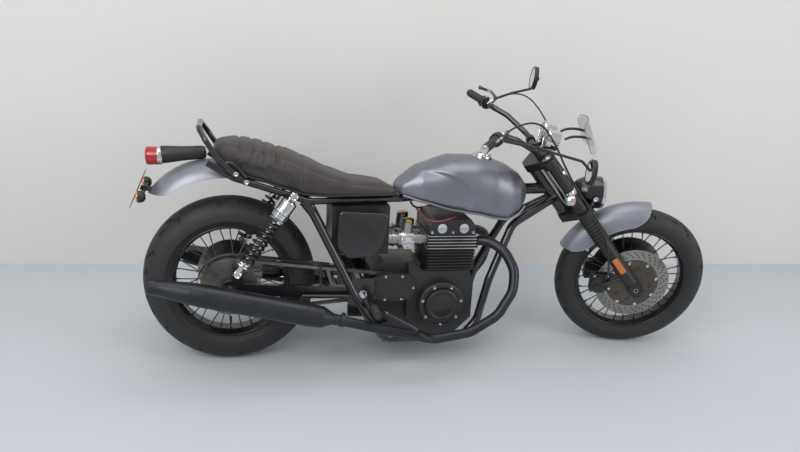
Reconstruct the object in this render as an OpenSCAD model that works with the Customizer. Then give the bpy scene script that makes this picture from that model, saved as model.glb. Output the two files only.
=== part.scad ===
// Low retro twin motorcycle, parked on its side stand with the steering turned to the right.
// Everything is drawn upright, rear axle at x = 0 over the ground, forward +X, left +Y, and
// then leaned over and set down so that both tyres and the stand's foot touch the ground.

/* [Wheels] */
// Rear tyre radius
rear_r = 321; // [300:1:340]
// Half of the rear tyre's width
rear_half = 72; // [62:1:76]
// Rear rim radius at the tyre seat
rear_rim_r = 216; // [208:1:224]
// Front tyre radius
front_r = 306; // [290:1:320]
// Half of the front tyre's width
front_half = 52; // [44:1:58]
// Front rim radius at the tyre seat
front_rim_r = 224; // [214:1:230]
// Distance between the axles when steering straight
wheelbase = 1640; // [1560:5:1700]
// Spokes in each wheel
spoke_count = 32; // [24:4:40]
// Spoke radius
spoke_r = 2.2; // [1.5:0.1:3]
// Axle radius
axle_r = 9; // [8:0.5:11]
// Radius of the hole through the hollow front axle
axle_hole_r = 6; // [4:0.5:6.5]
// Front brake disc radius
front_disc_r = 150; // [130:1:160]
// Rear brake disc radius
rear_disc_r = 125; // [105:1:130]
// Brake disc thickness
disc_t = 5; // [4:0.5:6]
// Rear sprocket radius
sprocket_r = 100; // [85:1:108]
// Front sprocket radius
drive_sprocket_r = 38; // [32:1:44]

/* [Stance] */
// Lean to the left on the side stand, degrees
lean = 8; // [6:0.5:10]
// Steering angle at rest, degrees, right is negative
steer_rest = -15; // [-20:1:0]
// Rake of the steering axis from upright, degrees
rake = 40; // [36:0.5:42]
// How far the fork legs stand ahead of the steering axis
fork_offset = 60; // [50:1:70]

/* [Fork] */
// Half of the distance between the fork legs
fork_half = 102; // [98:1:110]
// Fork tube radius
tube_r = 20.5; // [18:0.5:22]
// Fork slider radius
slider_r = 26; // [24:0.5:28]
// Top of the sliders above the axle, along the leg
slider_top = 262; // [240:1:270]
// Underside of the lower fork clamp above the axle, along the leg
low_clamp = 385; // [370:1:400]
// Underside of the upper fork clamp above the axle, along the leg
top_clamp = 648; // [620:1:670]
// Thickness of both fork clamps
clamp_t = 32; // [26:1:38]
// Steering stem radius
stem_r = 17.5; // [15:0.5:20]
// Head tube radius
head_r = 31; // [27:1:36]

/* [Bars] */
// Handlebar tube radius
bar_r = 11; // [10:0.5:12.7]
// Grip radius
grip_r = 16; // [14.5:0.5:18]
// Grip length
grip_l = 122; // [110:1:130]
// Half of the handlebar's width
bar_half = 365; // [340:1:400]
// Mirror radius
mirror_r = 47; // [38:1:55]

/* [Frame] */
// Main frame tube radius
frame_r = 16; // [13:0.5:19]
// Backbone tube radius
backbone_r = 22; // [18:0.5:26]
// Seat rail radius
rail_r = 12; // [10:0.5:14]
// Swingarm pivot, distance ahead of the rear axle
pivot_x = 490; // [470:1:505]
// Swingarm pivot height
pivot_z = 300; // [285:1:315]
// Swingarm pivot bolt radius
pivot_r = 10; // [8:0.5:12]
// Inner face of each swingarm leg from the middle
arm_y = 118; // [116:1:122]
// Swingarm leg thickness
arm_t = 24; // [18:1:26]
// Swingarm leg height
arm_h = 44; // [36:1:52]

/* [Engine] */
// Crankcase half width
case_half = 112; // [100:1:118]
// Gearbox half width, inside the chain
gearbox_half = 86; // [76:1:90]
// Cylinder block half width without fins
block_half = 104; // [90:1:110]
// Cylinder fin thickness
fin_t = 4; // [2.5:0.5:6]
// Distance between cylinder fins
fin_step = 12; // [10:0.5:16]
// Number of cylinder fins
fin_count = 12; // [8:1:12]
// How far the fins stand out
fin_out = 10; // [6:1:12]
// Crank cover radius
crank_cover_r = 90; // [76:1:96]

/* [Exhaust] */
// Header pipe radius
pipe_r = 19; // [16:0.5:22]
// Muffler radius
muffler_r = 43; // [36:1:46]
// Muffler centre line from the middle of the motorcycle
muffler_y = 224; // [220:1:236]

/* [Body] */
// Seat half width at its widest
seat_half = 126; // [110:1:140]
// Tank half width at its widest
tank_half = 128; // [112:1:136]
// Rear fender crown radius, around its own centre above and behind the axle
fender_r = 284; // [270:1:300]
// Rear fender half width
fender_half = 84; // [78:1:92]
// Front fender clearance over the tyre
fender_gap = 24; // [14:1:32]
// Front fender's front end, in degrees about the axle, from straight ahead of the fork
fender_from = 46; // [30:1:70]
// Front fender's rear end, in degrees about the axle
fender_to = 117; // [100:1:150]
// Front fender skirt, below the middle of its crown's circle
fender_skirt = 26; // [20:1:40]
// Fender sheet thickness
sheet = 3; // [2:0.5:4]
// Headlight radius
lamp_r = 64; // [56:1:76]
// Tail light radius
tail_r = 33; // [26:1:40]

/* [Stand] */
// Side stand leg radius
stand_r = 11; // [9:0.5:13]
// Side stand foot radius
foot_r = 26; // [20:1:32]
// Side stand foot thickness
foot_t = 8; // [6:0.5:12]

/* [Hidden] */
$fn = 48;

run_fit = 0.05;
skin = 0.3;
both = [-1, 1];
// A bend is this much thicker than its tube and laps over the tube's end
bend_swell = 0.3;
bend_lap = 1;

// Stance: the pitch that sets both tyres on the ground, found by a few steps
head_foot = [wheelbase - fork_offset * cos(rake), 0, front_r - fork_offset * sin(rake)];
function turn_y(v, a) = [v.x * cos(a) + v.z * sin(a), v.y, -v.x * sin(a) + v.z * cos(a)];
function turn_x(v, a) = [v.x, v.y * cos(a) - v.z * sin(a), v.y * sin(a) + v.z * cos(a)];
function turn_z(v, a) = [v.x * cos(a) - v.y * sin(a), v.x * sin(a) + v.y * cos(a), v.z];
function settle(v, pitch) = turn_x(turn_y(v, pitch), -lean);
function steered(v) = turn_y(turn_z(v, steer_rest), -rake);
function tyre_low(c, n, r, half) = c.z - (r - half) * sqrt(1 - n.z * n.z) - half;
function rear_low(pitch) =
    tyre_low(settle([0, 0, rear_r], pitch), settle([0, 1, 0], pitch), rear_r, rear_half);
function front_low(pitch) =
    tyre_low(settle(head_foot + steered([fork_offset, 0, 0]), pitch),
        settle(steered([0, 1, 0]), pitch), front_r, front_half);
function find_pitch(pitch, steps) = steps == 0 ? pitch
    : find_pitch(pitch + (front_low(pitch) - rear_low(pitch)) / wheelbase * 57.3, steps - 1);
pitch_rest = find_pitch(0, 6);
rear_touch = [
    settle([0, 0, rear_r], pitch_rest).x,
    settle([0, 0, rear_r], pitch_rest).y - (rear_r - rear_half) * sin(lean),
    rear_low(pitch_rest)
];
function on_ground(v) = settle(v, pitch_rest) - rear_touch;
function off_ground(v) = turn_y(turn_x(v + rear_touch, lean), -pitch_rest);

// Wheels
tyre_seat_rear = rear_half * 0.72;
tyre_seat_front = front_half * 0.72;
hub_half_front = 60;
hub_half_rear = 88;
axle_lug = slider_r + 0.6;
axle_spacer = fork_half - axle_lug - hub_half_front - skin;
axle_spacer_mid = hub_half_front + skin + axle_spacer / 2;
flange_r = 44;
hub_r = 30;
carrier_r = 62;
sprocket_t = 7;
chain_w = 16;
chain_t = 9;
sprocket_y = hub_half_rear + sprocket_t / 2 + 7;
boss_l = 7;
caliper_turn = 52;
caliper_place = [-sin(caliper_turn), cos(caliper_turn)] * (front_disc_r - 28);

// Swingarm
arm_out = arm_y + arm_t;
arm_mid = arm_y + arm_t / 2;
axle_end = arm_out + 14;
stud_r = 8;
shock_y = arm_out + 24;
shock_eye = 16;
shock_low = [24, 392];
shock_top = [223, 676];

// Frame
plate_in = arm_out + 5;
plate_t = 8;
plate_out = plate_in + plate_t;
hanger = [258, plate_out + 5, 298];
drive_x = 600;
drive_z = 315;
rail_z = 92;
case_base = rail_z + frame_r + skin;
loop_y = plate_in + frame_r - 1.2;
// Frame tube run on each side: [x, y, z]
cradle = [
    [1271, 20, 643], [1090, 50, 540], [1000, 92, 330], [962, 98, 160],
    [905, 100, rail_z], [590, 100, rail_z], [520, loop_y, 190], [455, loop_y, 300], [300, 118, 600],
    [262, 108, 646]
];
seat_rails = [[640, 40, 640], [285, 108, 645], [16, 108, 730], [-75, 104, 782]];
// Centre of the rear fender's crown, and of the arch that opens it over the tyre: [x, z]
crown_centre = [-53, 494];
arch_centre = [-6, 337];
arch_r = 385;
fender_end_z = 655;
fender_bolt = [-20, 106, 748];
function rail_top(i) = seat_rails[i].z + rail_r * 1.25 + skin;
backbone = [[1252, 0, 676], [980, 0, 668], [640, 0, 640]];

// Engine
head_z = 515;
fin_z0 = head_z - fin_count * fin_step;
block_x0 = 748;
block_x1 = 918;
// Crankcase outline seen from the right: [x, z]
case_outline = [
    [668, 180], [720, case_base], [858, case_base], [930, 180], [930, 330], [912, 372],
    [block_x0 - 20, 372], [690, 400], [668, 400]
];
// Gearbox outline seen from the right: [x, z]
gearbox_outline = [[528, 215], [590, 128], [720, case_base], [720, 400], [575, 405], [528, 370]];
cam_top = head_z + 60;
sprocket_cover = [575, 317];
sprocket_cover_r = 53;
sprocket_cover_l = 64;
crank_centre = [800, 244];

// Exhaust run on each side, y outwards: [x, y, z]
pipe_run = [
    [block_x1 + fin_out + skin + 8.2, 66, 478], [980, 84, 488], [1040, 130, 456], [1072, 172, 392], [1064, 200, 316],
    [1006, 214, 222], [900, muffler_y - 4, 158], [760, muffler_y, 136], [560, muffler_y, 182],
    [365, muffler_y, 231]
];
muffler_front = [395, 224];
muffler_rear = [-282, 372];
muffler_slope = atan2(muffler_rear.y - muffler_front.y, muffler_front.x - muffler_rear.x);
muffler_l = norm(muffler_rear - muffler_front);
// Muffler outline from the pipe backwards: [share of the length, share of the radius]
muffler_steps = [[0, 0.46], [0.04, 0.5], [0.1, 0.94], [0.16, 1], [0.72, 1], [0.8, 0.93], [0.94, 0.66], [1, 0.62]];

// Body
// Seat outline seen from the right: [x, z]
seat_side = [
    [-58, 838], [-40, 862], [20, 860], [88, 846], [194, 816], [273, 786], [360, 742],
    [450, 708], [560, 700], [628, 682], [622, rail_top(0)], [285, rail_top(1)], [16, rail_top(2)], [-48, 781]
];
// Seat outline seen from above, one side: [x, y share of the half width]
seat_plan = [[-60, 0.62], [-40, 0.8], [0, 0.92], [120, 1], [300, 0.98], [420, 0.86], [560, 0.7], [630, 0.5]];
// Tank balls on each side: [x, y share of the half width, z, radius]
tank_balls = [
    [672, 0.3, 690, 44], [760, 0.42, 712, 62], [850, 0.46, 722, 76], [960, 0.46, 720, 76], [1040, 0.42, 706, 70],
    [1078, 0.34, 668, 50], [1052, 0.62, 614, 42], [870, 0.7, 652, 38], [690, 0.44, 676, 24]
];
tunnel_half = backbone_r + 2 * skin;
tunnel_top = 668 + backbone_r + 14;
tank_base = cam_top + 14;
cover_outline = [[392, 616], [575, 606], [557, 486], [521, 440], [425, 436], [386, 484]];
cover_y = 138;
cover_t = 9;
airbox_half = 88;
airbox_x1 = 590;
intake_z = 486;

// Steering, in the fork's own frame: x ahead of the steering axis, z up along it
bar_points = [[40, 95, 732], [12, 152, 832], [-20, 182, 890], [-80, bar_half, 945]];
bar_run = concat([for (i = [3 : -1 : 0]) [bar_points[i].x, -bar_points[i].y, bar_points[i].z]], bar_points);
bar_clamp_y = 44;
grip_dir = way(bar_points[2], bar_points[3]);
function bar_at(d) = bar_points[3] - grip_dir * d;
lamp_place = [114, 0, 430];
lamp_bolt = lamp_place + [12, 0, -10];
indicator_z = 516;
gauge_r = 38;
gauge_place = [112, 48, 716];
screen_place = [206, 0, 640];
mirror_right = [flip([bar_at(grip_l + 19)], -1)[0], [60, -246, 800], [165, -216, 648], [171, -214, 590]];
mirror_left = [bar_at(grip_l + 19), [66, 316, 850], [160, 346, 800], [173, 355, 836]];

// Side stand
stand_pivot = [640, 134, 112];
foot_spot = [760, 300, 0];
stand_foot = off_ground(foot_spot + [0, 0, foot_t + stand_r]);
stand_folded = [-0.985, 0.17, -0.02];
stand_turn = cross(way(stand_pivot, stand_foot), stand_folded);
stand_axis = stand_turn / norm(stand_turn);
stand_eye = 15;
stand_pin = 8;

module bike() {
    translate(-rear_touch) rotate([-lean, 0, 0]) rotate([0, pitch_rest, 0]) children();
}

module steering() {
    bike() translate(head_foot) rotate([0, -rake, 0]) rotate([0, 0, steer_rest]) children();
}

module on_front_axle() {
    steering() translate([fork_offset, 0, 0]) children();
}

module on_rear_axle() {
    bike() translate([0, 0, rear_r]) children();
}

// Round bar from one point to another
module rod(from, to, r) {
    d = to - from;
    l = norm(d);
    translate(from) rotate([0, acos(d.z / l), atan2(d.y, d.x)]) cylinder(r = r, h = l);
}

// Tube along a list of points, with each corner bent to a radius
module bent(points, r, bend) {
    last = len(points) - 1;
    for (i = [0 : last - 1]) {
        go = way(points[i], points[i + 1]);
        back = i == 0 ? 0 : bend_cut(points, i, bend) - bend_lap;
        ahead = i == last - 1 ? 0 : bend_cut(points, i + 1, bend) - bend_lap;
        rod(points[i] + go * back, points[i + 1] - go * ahead, r);
    }
    for (i = [1 : last - 1]) corner(points[i - 1], points[i], points[i + 1], r, bend);
}

function way(from, to) = (to - from) / norm(to - from);
function turn_at(a, b, c) = acos(way(a, b) * way(b, c));
function bend_cut(points, i, bend) = bend * tan(turn_at(points[i - 1], points[i], points[i + 1]) / 2);

// One bend of a tube, from the way in to the way out
module corner(a, b, c, r, bend) {
    turn = turn_at(a, b, c);
    go = way(a, b);
    inward = way(go, way(b, c));
    centre = b + inward * bend / cos(turn / 2);
    start = b - go * bend * tan(turn / 2);
    out = way(centre, start);
    side = cross(out, go);
    multmatrix([
        [out.x, go.x, side.x, centre.x], [out.y, go.y, side.y, centre.y],
        [out.z, go.z, side.z, centre.z], [0, 0, 0, 1]
    ]) rotate_extrude(angle = turn) translate([bend, 0]) circle(r = r + bend_swell);
}

// Cylinder lying across the motorcycle, from y0 to y1
module across(r, y0, y1) {
    translate([0, y1, 0]) rotate([90, 0, 0]) cylinder(r = r, h = y1 - y0);
}

// Outline in x and z, extruded from y0 to y1
module slab(y0, y1) {
    translate([0, y1, 0]) rotate([90, 0, 0]) linear_extrude(height = y1 - y0) children();
}

function flip(points, side) = [for (p = points) [p.x, side * p.y, p.z]];

module tyre(r, half, seat_r) {
    rotate([90, 0, 0]) rotate_extrude($fn = 72) intersection() {
        translate([r - half, 0]) circle(r = half);
        translate([seat_r, -half]) square([r, 2 * half]);
    }
}

module wire_wheel(rim_r, rim_half, hub_half, count) {
    difference() {
        union() {
            rotate([90, 0, 0]) rotate_extrude($fn = 72) polygon([
                [rim_r - 16, -rim_half * 0.5], [rim_r - 4, -rim_half], [rim_r, -rim_half],
                [rim_r, rim_half], [rim_r - 4, rim_half], [rim_r - 16, rim_half * 0.5]
            ]);
            across(hub_r, -hub_half, hub_half);
            for (side = both) {
                across(flange_r, side * hub_half * 0.7 - 4, side * hub_half * 0.7 + 4);
            }
            for (i = [0 : count - 1]) spoke(i * 360 / count, i % 2 * 2 - 1, i % 4 < 2 ? 26 : -26, rim_r, hub_half);
        }
        across(axle_r + run_fit, -hub_half - 1, hub_half + 1);
    }
}

module spoke(angle, side, sweep, rim_r, hub_half) {
    foot = [(flange_r - 5) * cos(angle - sweep), side * hub_half * 0.7, (flange_r - 5) * sin(angle - sweep)];
    tip = [(rim_r - 12) * cos(angle), side * 5, (rim_r - 12) * sin(angle)];
    rod(foot, tip, spoke_r, $fn = 16);
}

module brake_disc(r, y0) {
    difference() {
        across(r, y0, y0 + disc_t);
        across(axle_r + boss_l, y0 - 1, y0 + disc_t + 1);
        for (i = [0 : 5]) rotate([0, i * 60, 0]) translate([r * 0.48, 0, 0]) across(r * 0.13, y0 - 1, y0 + disc_t + 1);
    }
}

module rear_tyre() {
    color("#1a1a1c") on_rear_axle() tyre(rear_r, rear_half, rear_rim_r);
}

module rear_wheel_rim() {
    color("#26282b") on_rear_axle() wire_wheel(rear_rim_r, tyre_seat_rear, hub_half_rear, spoke_count);
}

module rear_sprocket() {
    color("#8c8f93") on_rear_axle() difference() {
        union() {
            across(sprocket_r, -sprocket_y - sprocket_t / 2, -sprocket_y + sprocket_t / 2);
            across(carrier_r, -sprocket_y, -hub_half_rear);
        }
        across(axle_r + run_fit, -sprocket_y - sprocket_t, -hub_half_rear + 1);
    }
}

module rear_disc() {
    color("#b4b6b8") on_rear_axle() brake_disc(rear_disc_r, hub_half_rear);
}

module front_tyre() {
    color("#1a1a1c") on_front_axle() tyre(front_r, front_half, front_rim_r);
}

module front_wheel_rim() {
    color("#26282b") on_front_axle() wire_wheel(front_rim_r, tyre_seat_front, hub_half_front, spoke_count);
}

module front_discs() {
    color("#b4b6b8") on_front_axle() for (y0 = [-hub_half_front - disc_t, hub_half_front]) brake_disc(front_disc_r, y0);
}

module front_axle() {
    color("#9a9da1") on_front_axle() difference() {
        union() {
            across(axle_r, -fork_half - slider_r - 4, fork_half + slider_r + 4);
            for (side = both) across(axle_r + 5, side * axle_spacer_mid - axle_spacer / 2, side * axle_spacer_mid + axle_spacer / 2);
        }
        across(axle_hole_r, -fork_half - slider_r - 5, fork_half + slider_r + 5);
    }
}

module fork_legs() {
    color("#1e1f21") on_front_axle() for (side = both) difference() {
        union() {
            translate([0, side * fork_half, -34]) cylinder(r = slider_r, h = slider_top + 34);
            translate([0, side * fork_half, 0]) cylinder(r = tube_r, h = top_clamp + clamp_t + 8);
            translate([0, side * fork_half, 0]) across(30, -axle_lug, axle_lug);
            rod([-10, side * fork_half, caliper_place.y - 10], [caliper_place.x, side * (hub_half_front + 28), caliper_place.y], 8);
        }
        across(axle_r, -fork_half - slider_r - 5, fork_half + slider_r + 5);
    }
}

module gaiters() {
    color("#141415") on_front_axle() for (side = both) translate([0, side * fork_half, 0]) difference() {
        union() {
            translate([0, 0, slider_top]) cylinder(r = slider_r + 1, h = low_clamp - slider_top);
            for (i = [0 : 7]) translate([0, 0, slider_top + 8 + i * (low_clamp - slider_top - 16) / 7])
                rotate_extrude() translate([slider_r + 1, 0]) circle(r = 5);
        }
        translate([0, 0, slider_top - 10]) cylinder(r = tube_r, h = low_clamp - slider_top + 20);
    }
}

module fork_clamps() {
    color("#232427") steering() {
        translate([0, 0, low_clamp]) cylinder(r = stem_r, h = top_clamp + clamp_t - low_clamp);
        for (z0 = [low_clamp, top_clamp]) difference() {
            translate([0, 0, z0]) linear_extrude(height = clamp_t) union() {
                polygon([[-34, -24], [-34, 24], [fork_offset, fork_half + 10], [fork_offset + 22, fork_half - 8],
                    [fork_offset - 16, 0], [fork_offset + 22, -fork_half + 8], [fork_offset, -fork_half - 10]]);
                for (side = both) translate([fork_offset, side * fork_half]) circle(r = tube_r + 10);
            }
            for (side = both) translate([fork_offset, side * fork_half, z0 - 1]) cylinder(r = tube_r, h = clamp_t + 2);
        }
        for (side = both) translate([40, side * bar_clamp_y, top_clamp + clamp_t - 1]) difference() {
            union() {
                cylinder(r = 15, h = bar_points[0].z - top_clamp - clamp_t + 1);
                translate([0, 0, bar_points[0].z - top_clamp - clamp_t + 1]) across(bar_r + 7, -14, 14);
            }
            translate([0, 0, bar_points[0].z - top_clamp - clamp_t + 1]) across(bar_r, -15, 15);
        }
        for (side = both) {
            rod([fork_offset + 22, side * (fork_half - 20), low_clamp + 16], [lamp_bolt.x, side * (lamp_r + 8), lamp_bolt.z], 7);
            rod([lamp_bolt.x, side * (lamp_r + skin), lamp_bolt.z], [lamp_bolt.x, side * (lamp_r + 14), lamp_bolt.z], 11);
        }
    }
}

module front_fender() {
    inner = front_r + fender_gap;
    wide = front_half + 6;
    crown = inner - wide;
    color("#8a8f97") on_front_axle() {
        difference() {
            rotate([90, 0, 0]) rotate_extrude($fn = 180) difference() {
                union() {
                    translate([crown, 0]) circle(r = wide + sheet);
                    translate([crown - fender_skirt, -wide - sheet]) square([fender_skirt, 2 * (wide + sheet)]);
                }
                translate([crown, 0]) circle(r = wide);
                translate([crown - 120, -wide]) square([120, 2 * wide]);
                translate([crown - 120, -wide * 2]) square([120 - fender_skirt, wide * 4]);
            }
            rotate([0, 180 - fender_to, 0]) translate([-inner * 2, -100, -inner * 2]) cube([inner * 4, 200, inner * 2]);
            rotate([0, -fender_from, 0]) translate([-inner * 2, -100, -inner * 2]) cube([inner * 4, 200, inner * 2]);
        }
        for (side = both) rod([0, side * (wide + 1), crown - 22], [0, side * (fork_half - slider_r - skin), crown - 22], 8);
    }
}

module calipers() {
    color("#202124") on_front_axle() for (side = both) rotate([0, -caliper_turn, 0])
        translate([0, side * (hub_half_front + disc_t / 2), front_disc_r - 28]) difference() {
            translate([-42, -17, -22]) cube([84, 34, 70]);
            translate([-60, -disc_t / 2 - 5, -60]) cube([120, disc_t + 10, 94]);
        }
}

module handlebar() {
    color("#1d1e20") steering() bent(bar_run, bar_r, 60);
}

module grips() {
    color("#131314") steering() for (side = both) difference() {
        rod(flip([bar_at(grip_l)], side)[0], flip([bar_at(-3)], side)[0], grip_r);
        rod(flip([bar_at(grip_l + 5)], side)[0], flip([bar_at(0)], side)[0], bar_r);
    }
}

module switch_body(side, extra) {
    rod(flip([bar_at(grip_l + 36 + extra)], side)[0], flip([bar_at(grip_l + 2 - extra)], side)[0], 24 + extra);
}

module controls() {
    color("#1b1c1e") steering() for (side = both) {
        difference() {
            switch_body(side, 0);
            rod(flip([bar_at(grip_l + 40)], side)[0], flip([bar_at(grip_l)], side)[0], bar_r);
        }
        difference() {
            rod(flip([bar_at(grip_l + 50)], side)[0], flip([bar_at(grip_l + 35)], side)[0], 18);
            rod(flip([bar_at(grip_l + 52)], side)[0], flip([bar_at(grip_l + 34)], side)[0], bar_r);
        }
        bent(flip([
            bar_at(grip_l + 48) + [15, 0, 0], bar_at(grip_l + 44) + [40, 0, 0],
            bar_at(grip_l - 30) + [54, 0, -4], bar_at(24) + [44, 0, 0]
        ], side), 6, 10);
        translate(flip([bar_at(24) + [44, 0, 0]], side)[0]) sphere(r = 9);
    }
}

module mirrors() {
    color("#161618") steering() for (run = [mirror_right, mirror_left]) {
        difference() {
            bent(run, 5, 30);
            switch_body(sign(run[0].y), skin);
        }
        translate(run[3]) rotate([0, rake - 84, 0]) cylinder(r = mirror_r, h = 16, center = true);
    }
}

module headlight() {
    color("#1c1d20") steering() translate(lamp_place) rotate([0, rake + 90, 0]) {
        rotate_extrude() polygon([
            [0, -72], [26, -66], [46, -48], [58, -24], [lamp_r, 4], [lamp_r, 50], [lamp_r - 6, 56], [0, 60]
        ]);
    }
}

module gauge_bodies(extra) {
    for (side = both) translate([gauge_place.x, side * gauge_place.y, gauge_place.z])
        rotate([0, rake - 78, 0]) cylinder(r = gauge_r + extra, h = 44 + 2 * extra, center = true);
}

module gauges() {
    color("#b9bcc0") steering() gauge_bodies(0);
    color("#b9bcc0") steering() rod([bar_points[0].x, 0, top_clamp + clamp_t + skin], [bar_points[0].x, 0, gauge_place.z - 20], 10);
    color("#b9bcc0") steering() rod([bar_points[0].x, 0, gauge_place.z - 22], [gauge_place.x, 0, gauge_place.z - 12], 8);
    color("#b9bcc0") steering() rod([gauge_place.x, -gauge_place.y, gauge_place.z - 12], [gauge_place.x, gauge_place.y, gauge_place.z - 12], 9);
}

module fly_screen() {
    color("#2b2d31") steering() for (side = both) difference() {
        rod([gauge_place.x, side * gauge_place.y, gauge_place.z - 12], [screen_place.x + 28, side * gauge_place.y, screen_place.z - 8], 5);
        gauge_bodies(skin);
    }
    color("#2b2d31") steering() translate(screen_place) rotate([0, rake - 24, 0]) intersection() {
        difference() {
            translate([-60, 0, -60]) cylinder(r = 104, h = 130);
            translate([-60, 0, -61]) cylinder(r = 100, h = 132);
        }
        translate([0, -78, -60]) cube([80, 156, 130]);
    }
}

// Bullet indicators on short stalks, clamped round the fork tubes
module front_indicators() {
    color("#b9bcc0") steering() for (side = both) translate([fork_offset, side * fork_half, indicator_z]) {
        difference() {
            cylinder(r = tube_r + 5, h = 22, center = true);
            cylinder(r = tube_r, h = 24, center = true);
        }
        rod([0, side * (tube_r + 3), 0], [-12, side * 62, 0], 6);
        translate([-12, side * 62, 0]) rotate([0, rake + 90, 0]) cylinder(r = 21, h = 42, center = true);
    }
}

module frame_tubes() {
    color("#18191b") bike() difference() {
        union() {
            in_head() translate([0, 0, low_clamp + clamp_t + 3]) cylinder(r = head_r, h = top_clamp - low_clamp - clamp_t - 6);
            bent(backbone, backbone_r, 200);
            for (side = both) frame_side(side);
            rod([640, -40, 640], [640, 40, 640], rail_r - 2);
            rod([300, -118, 600], [300, 118, 600], rail_r);
            rod(flip([fender_bolt], -1)[0], fender_bolt, 6);
            rod([590, -100, rail_z], [590, 100, rail_z], frame_r - 2);
            translate([pivot_x, 0, pivot_z]) across(pivot_r, -plate_out - 4, plate_out + 4);
            rod(stand_pivot - stand_axis * 14, stand_pivot + stand_axis * 36, stand_pin);
            rod(stand_pivot + stand_axis * 34, [stand_pivot.x, 100, 138], 9);
            rod([stand_pivot.x, 100, 148], [stand_pivot.x, 100, rail_z], 11);
        }
        in_head() translate([0, 0, low_clamp]) cylinder(r = stem_r + run_fit, h = top_clamp - low_clamp + 10);
    }
}

module in_head() {
    translate(head_foot) rotate([0, -rake, 0]) children();
}

module frame_side(side) {
    bent(flip(cradle, side), frame_r, 75);
    bent(flip(seat_rails, side), rail_r, 75);
    translate([pivot_x - 60, side * (plate_in + plate_t / 2) - plate_t / 2, pivot_z - 90]) cube([100, plate_t, 150]);
    rod([pivot_x - 33, side * loop_y, pivot_z - 6], [hanger.x, side * hanger.y, hanger.z], 8);
    rod([shock_top.x, side * 100, shock_top.y], [shock_top.x, side * (shock_y + shock_eye + 5), shock_top.y], stud_r);
    rod([shock_top.x, side * 108, shock_top.y], [shock_top.x + 6, side * 108, 655], rail_r - 2);
}

module swingarm() {
    arm_l = norm([pivot_x, pivot_z - rear_r]);
    arm_tilt = atan2(rear_r - pivot_z, pivot_x);
    color("#1b1c1e") bike() difference() {
        union() {
            translate([pivot_x, 0, pivot_z]) across(pivot_r + 16, -arm_out, arm_out);
            for (side = both) {
                translate([0, side * arm_mid, rear_r]) rotate([0, arm_tilt, 0])
                    translate([0, 1 - arm_t / 2, -arm_h / 2]) cube([arm_l, arm_t - 2, arm_h]);
                translate([0, side * arm_mid, rear_r]) across(34, -arm_t / 2, arm_t / 2);
                translate([shock_low.x - 20, side * (arm_out - 6.5) - 5, rear_r]) cube([40, 10, shock_low.y - rear_r + 14]);
                rod([shock_low.x, side * (arm_out - 8), shock_low.y], [shock_low.x, side * (shock_y + shock_eye + 5), shock_low.y], stud_r);
            }
            rod([385, -arm_y - 2, 305], [385, arm_y + 2, 305], 16);
        }
        translate([0, 0, rear_r]) across(axle_r, -arm_out - 1, arm_out + 1);
        translate([pivot_x, 0, pivot_z]) across(pivot_r, -arm_out - 1, arm_out + 1);
    }
}

module rear_axle() {
    color("#9a9da1") on_rear_axle() {
        across(axle_r, -axle_end, axle_end);
        for (side = both) across(13, side * (arm_out + 5) - 5, side * (arm_out + 5) + 5);
        across(15, -arm_y, -sprocket_y - sprocket_t / 2 - skin);
        across(15, hub_half_rear + skin, arm_y);
    }
}

module shock(side) {
    low = [shock_low.x, 0, shock_low.y];
    top = [shock_top.x, 0, shock_top.y];
    l = norm(top - low);
    translate([0, side * shock_y, 0]) difference() {
        union() {
            for (p = [low, top]) translate(p) across(shock_eye, -shock_eye + 2, shock_eye - 2);
            translate(low) rotate([0, atan2(top.x - low.x, top.z - low.z), 0]) {
                cylinder(r = 11, h = l);
                translate([0, 0, 36]) cylinder(r = 24, h = 14);
                translate([0, 0, 50]) cylinder(r = 19, h = l - 110);
                for (i = [0 : 8]) translate([0, 0, 60 + i * (l - 150) / 8]) rotate_extrude() translate([22, 0]) circle(r = 5);
                translate([0, 0, l - 96]) cylinder(r = 29, h = 70);
            }
        }
        for (p = [low, top]) translate(p) across(stud_r, -shock_eye - 1, shock_eye + 1);
    }
}

module shocks() {
    color("#a9acb0") bike() for (side = both) shock(side);
}

module crankcase() {
    color("#232528") bike() union() {
        slab(-case_half, case_half) polygon(case_outline);
        slab(-gearbox_half, gearbox_half) polygon(gearbox_outline);
        for (side = both) translate([590, side * 90, 150]) across(14, -18, 18);
    }
}

module cylinders() {
    color("#2e3033") bike() {
        translate([block_x0, -block_half, 372]) cube([block_x1 - block_x0, 2 * block_half, head_z - 372]);
        for (i = [0 : fin_count - 1]) translate([block_x0 - fin_out, -block_half - fin_out, fin_z0 + fin_step / 2 + i * fin_step])
            cube([block_x1 - block_x0 + 2 * fin_out, 2 * (block_half + fin_out), fin_t]);
    }
}

module cam_cover() {
    color("#1f2022") bike() slab(-block_half - 6, block_half + 6) polygon([
        [block_x0 - 6, head_z], [block_x1 + 6, head_z], [block_x1 + 6, cam_top - 26], [block_x1 - 14, cam_top],
        [block_x0 + 14, cam_top], [block_x0 - 6, cam_top - 26]
    ]);
}

module engine_covers() {
    color("#2a2c2f") bike() for (side = both) {
        translate([crank_centre.x, 0, crank_centre.y]) {
            across(crank_cover_r, side * (case_half + 14) - 14, side * (case_half + 14) + 14);
            across(crank_cover_r * 0.72, side * (case_half + 20) - 20, side * (case_half + 20) + 20);
        }
        translate([sprocket_cover.x, 0, sprocket_cover.y]) {
            for (dx = [0, sprocket_cover_l]) translate([dx, 0, 0])
                across(sprocket_cover_r, side * 130 - 11, side * 130 + 11);
            translate([0, side * 130 - 11, -sprocket_cover_r]) cube([sprocket_cover_l, 22, 2 * sprocket_cover_r]);
        }
        translate([678, 0, sprocket_cover.y + 12]) across(8, side * (case_half + 120) / 2 - (120 - case_half) / 2,
            side * (case_half + 120) / 2 + (120 - case_half) / 2);
    }
}

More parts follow.
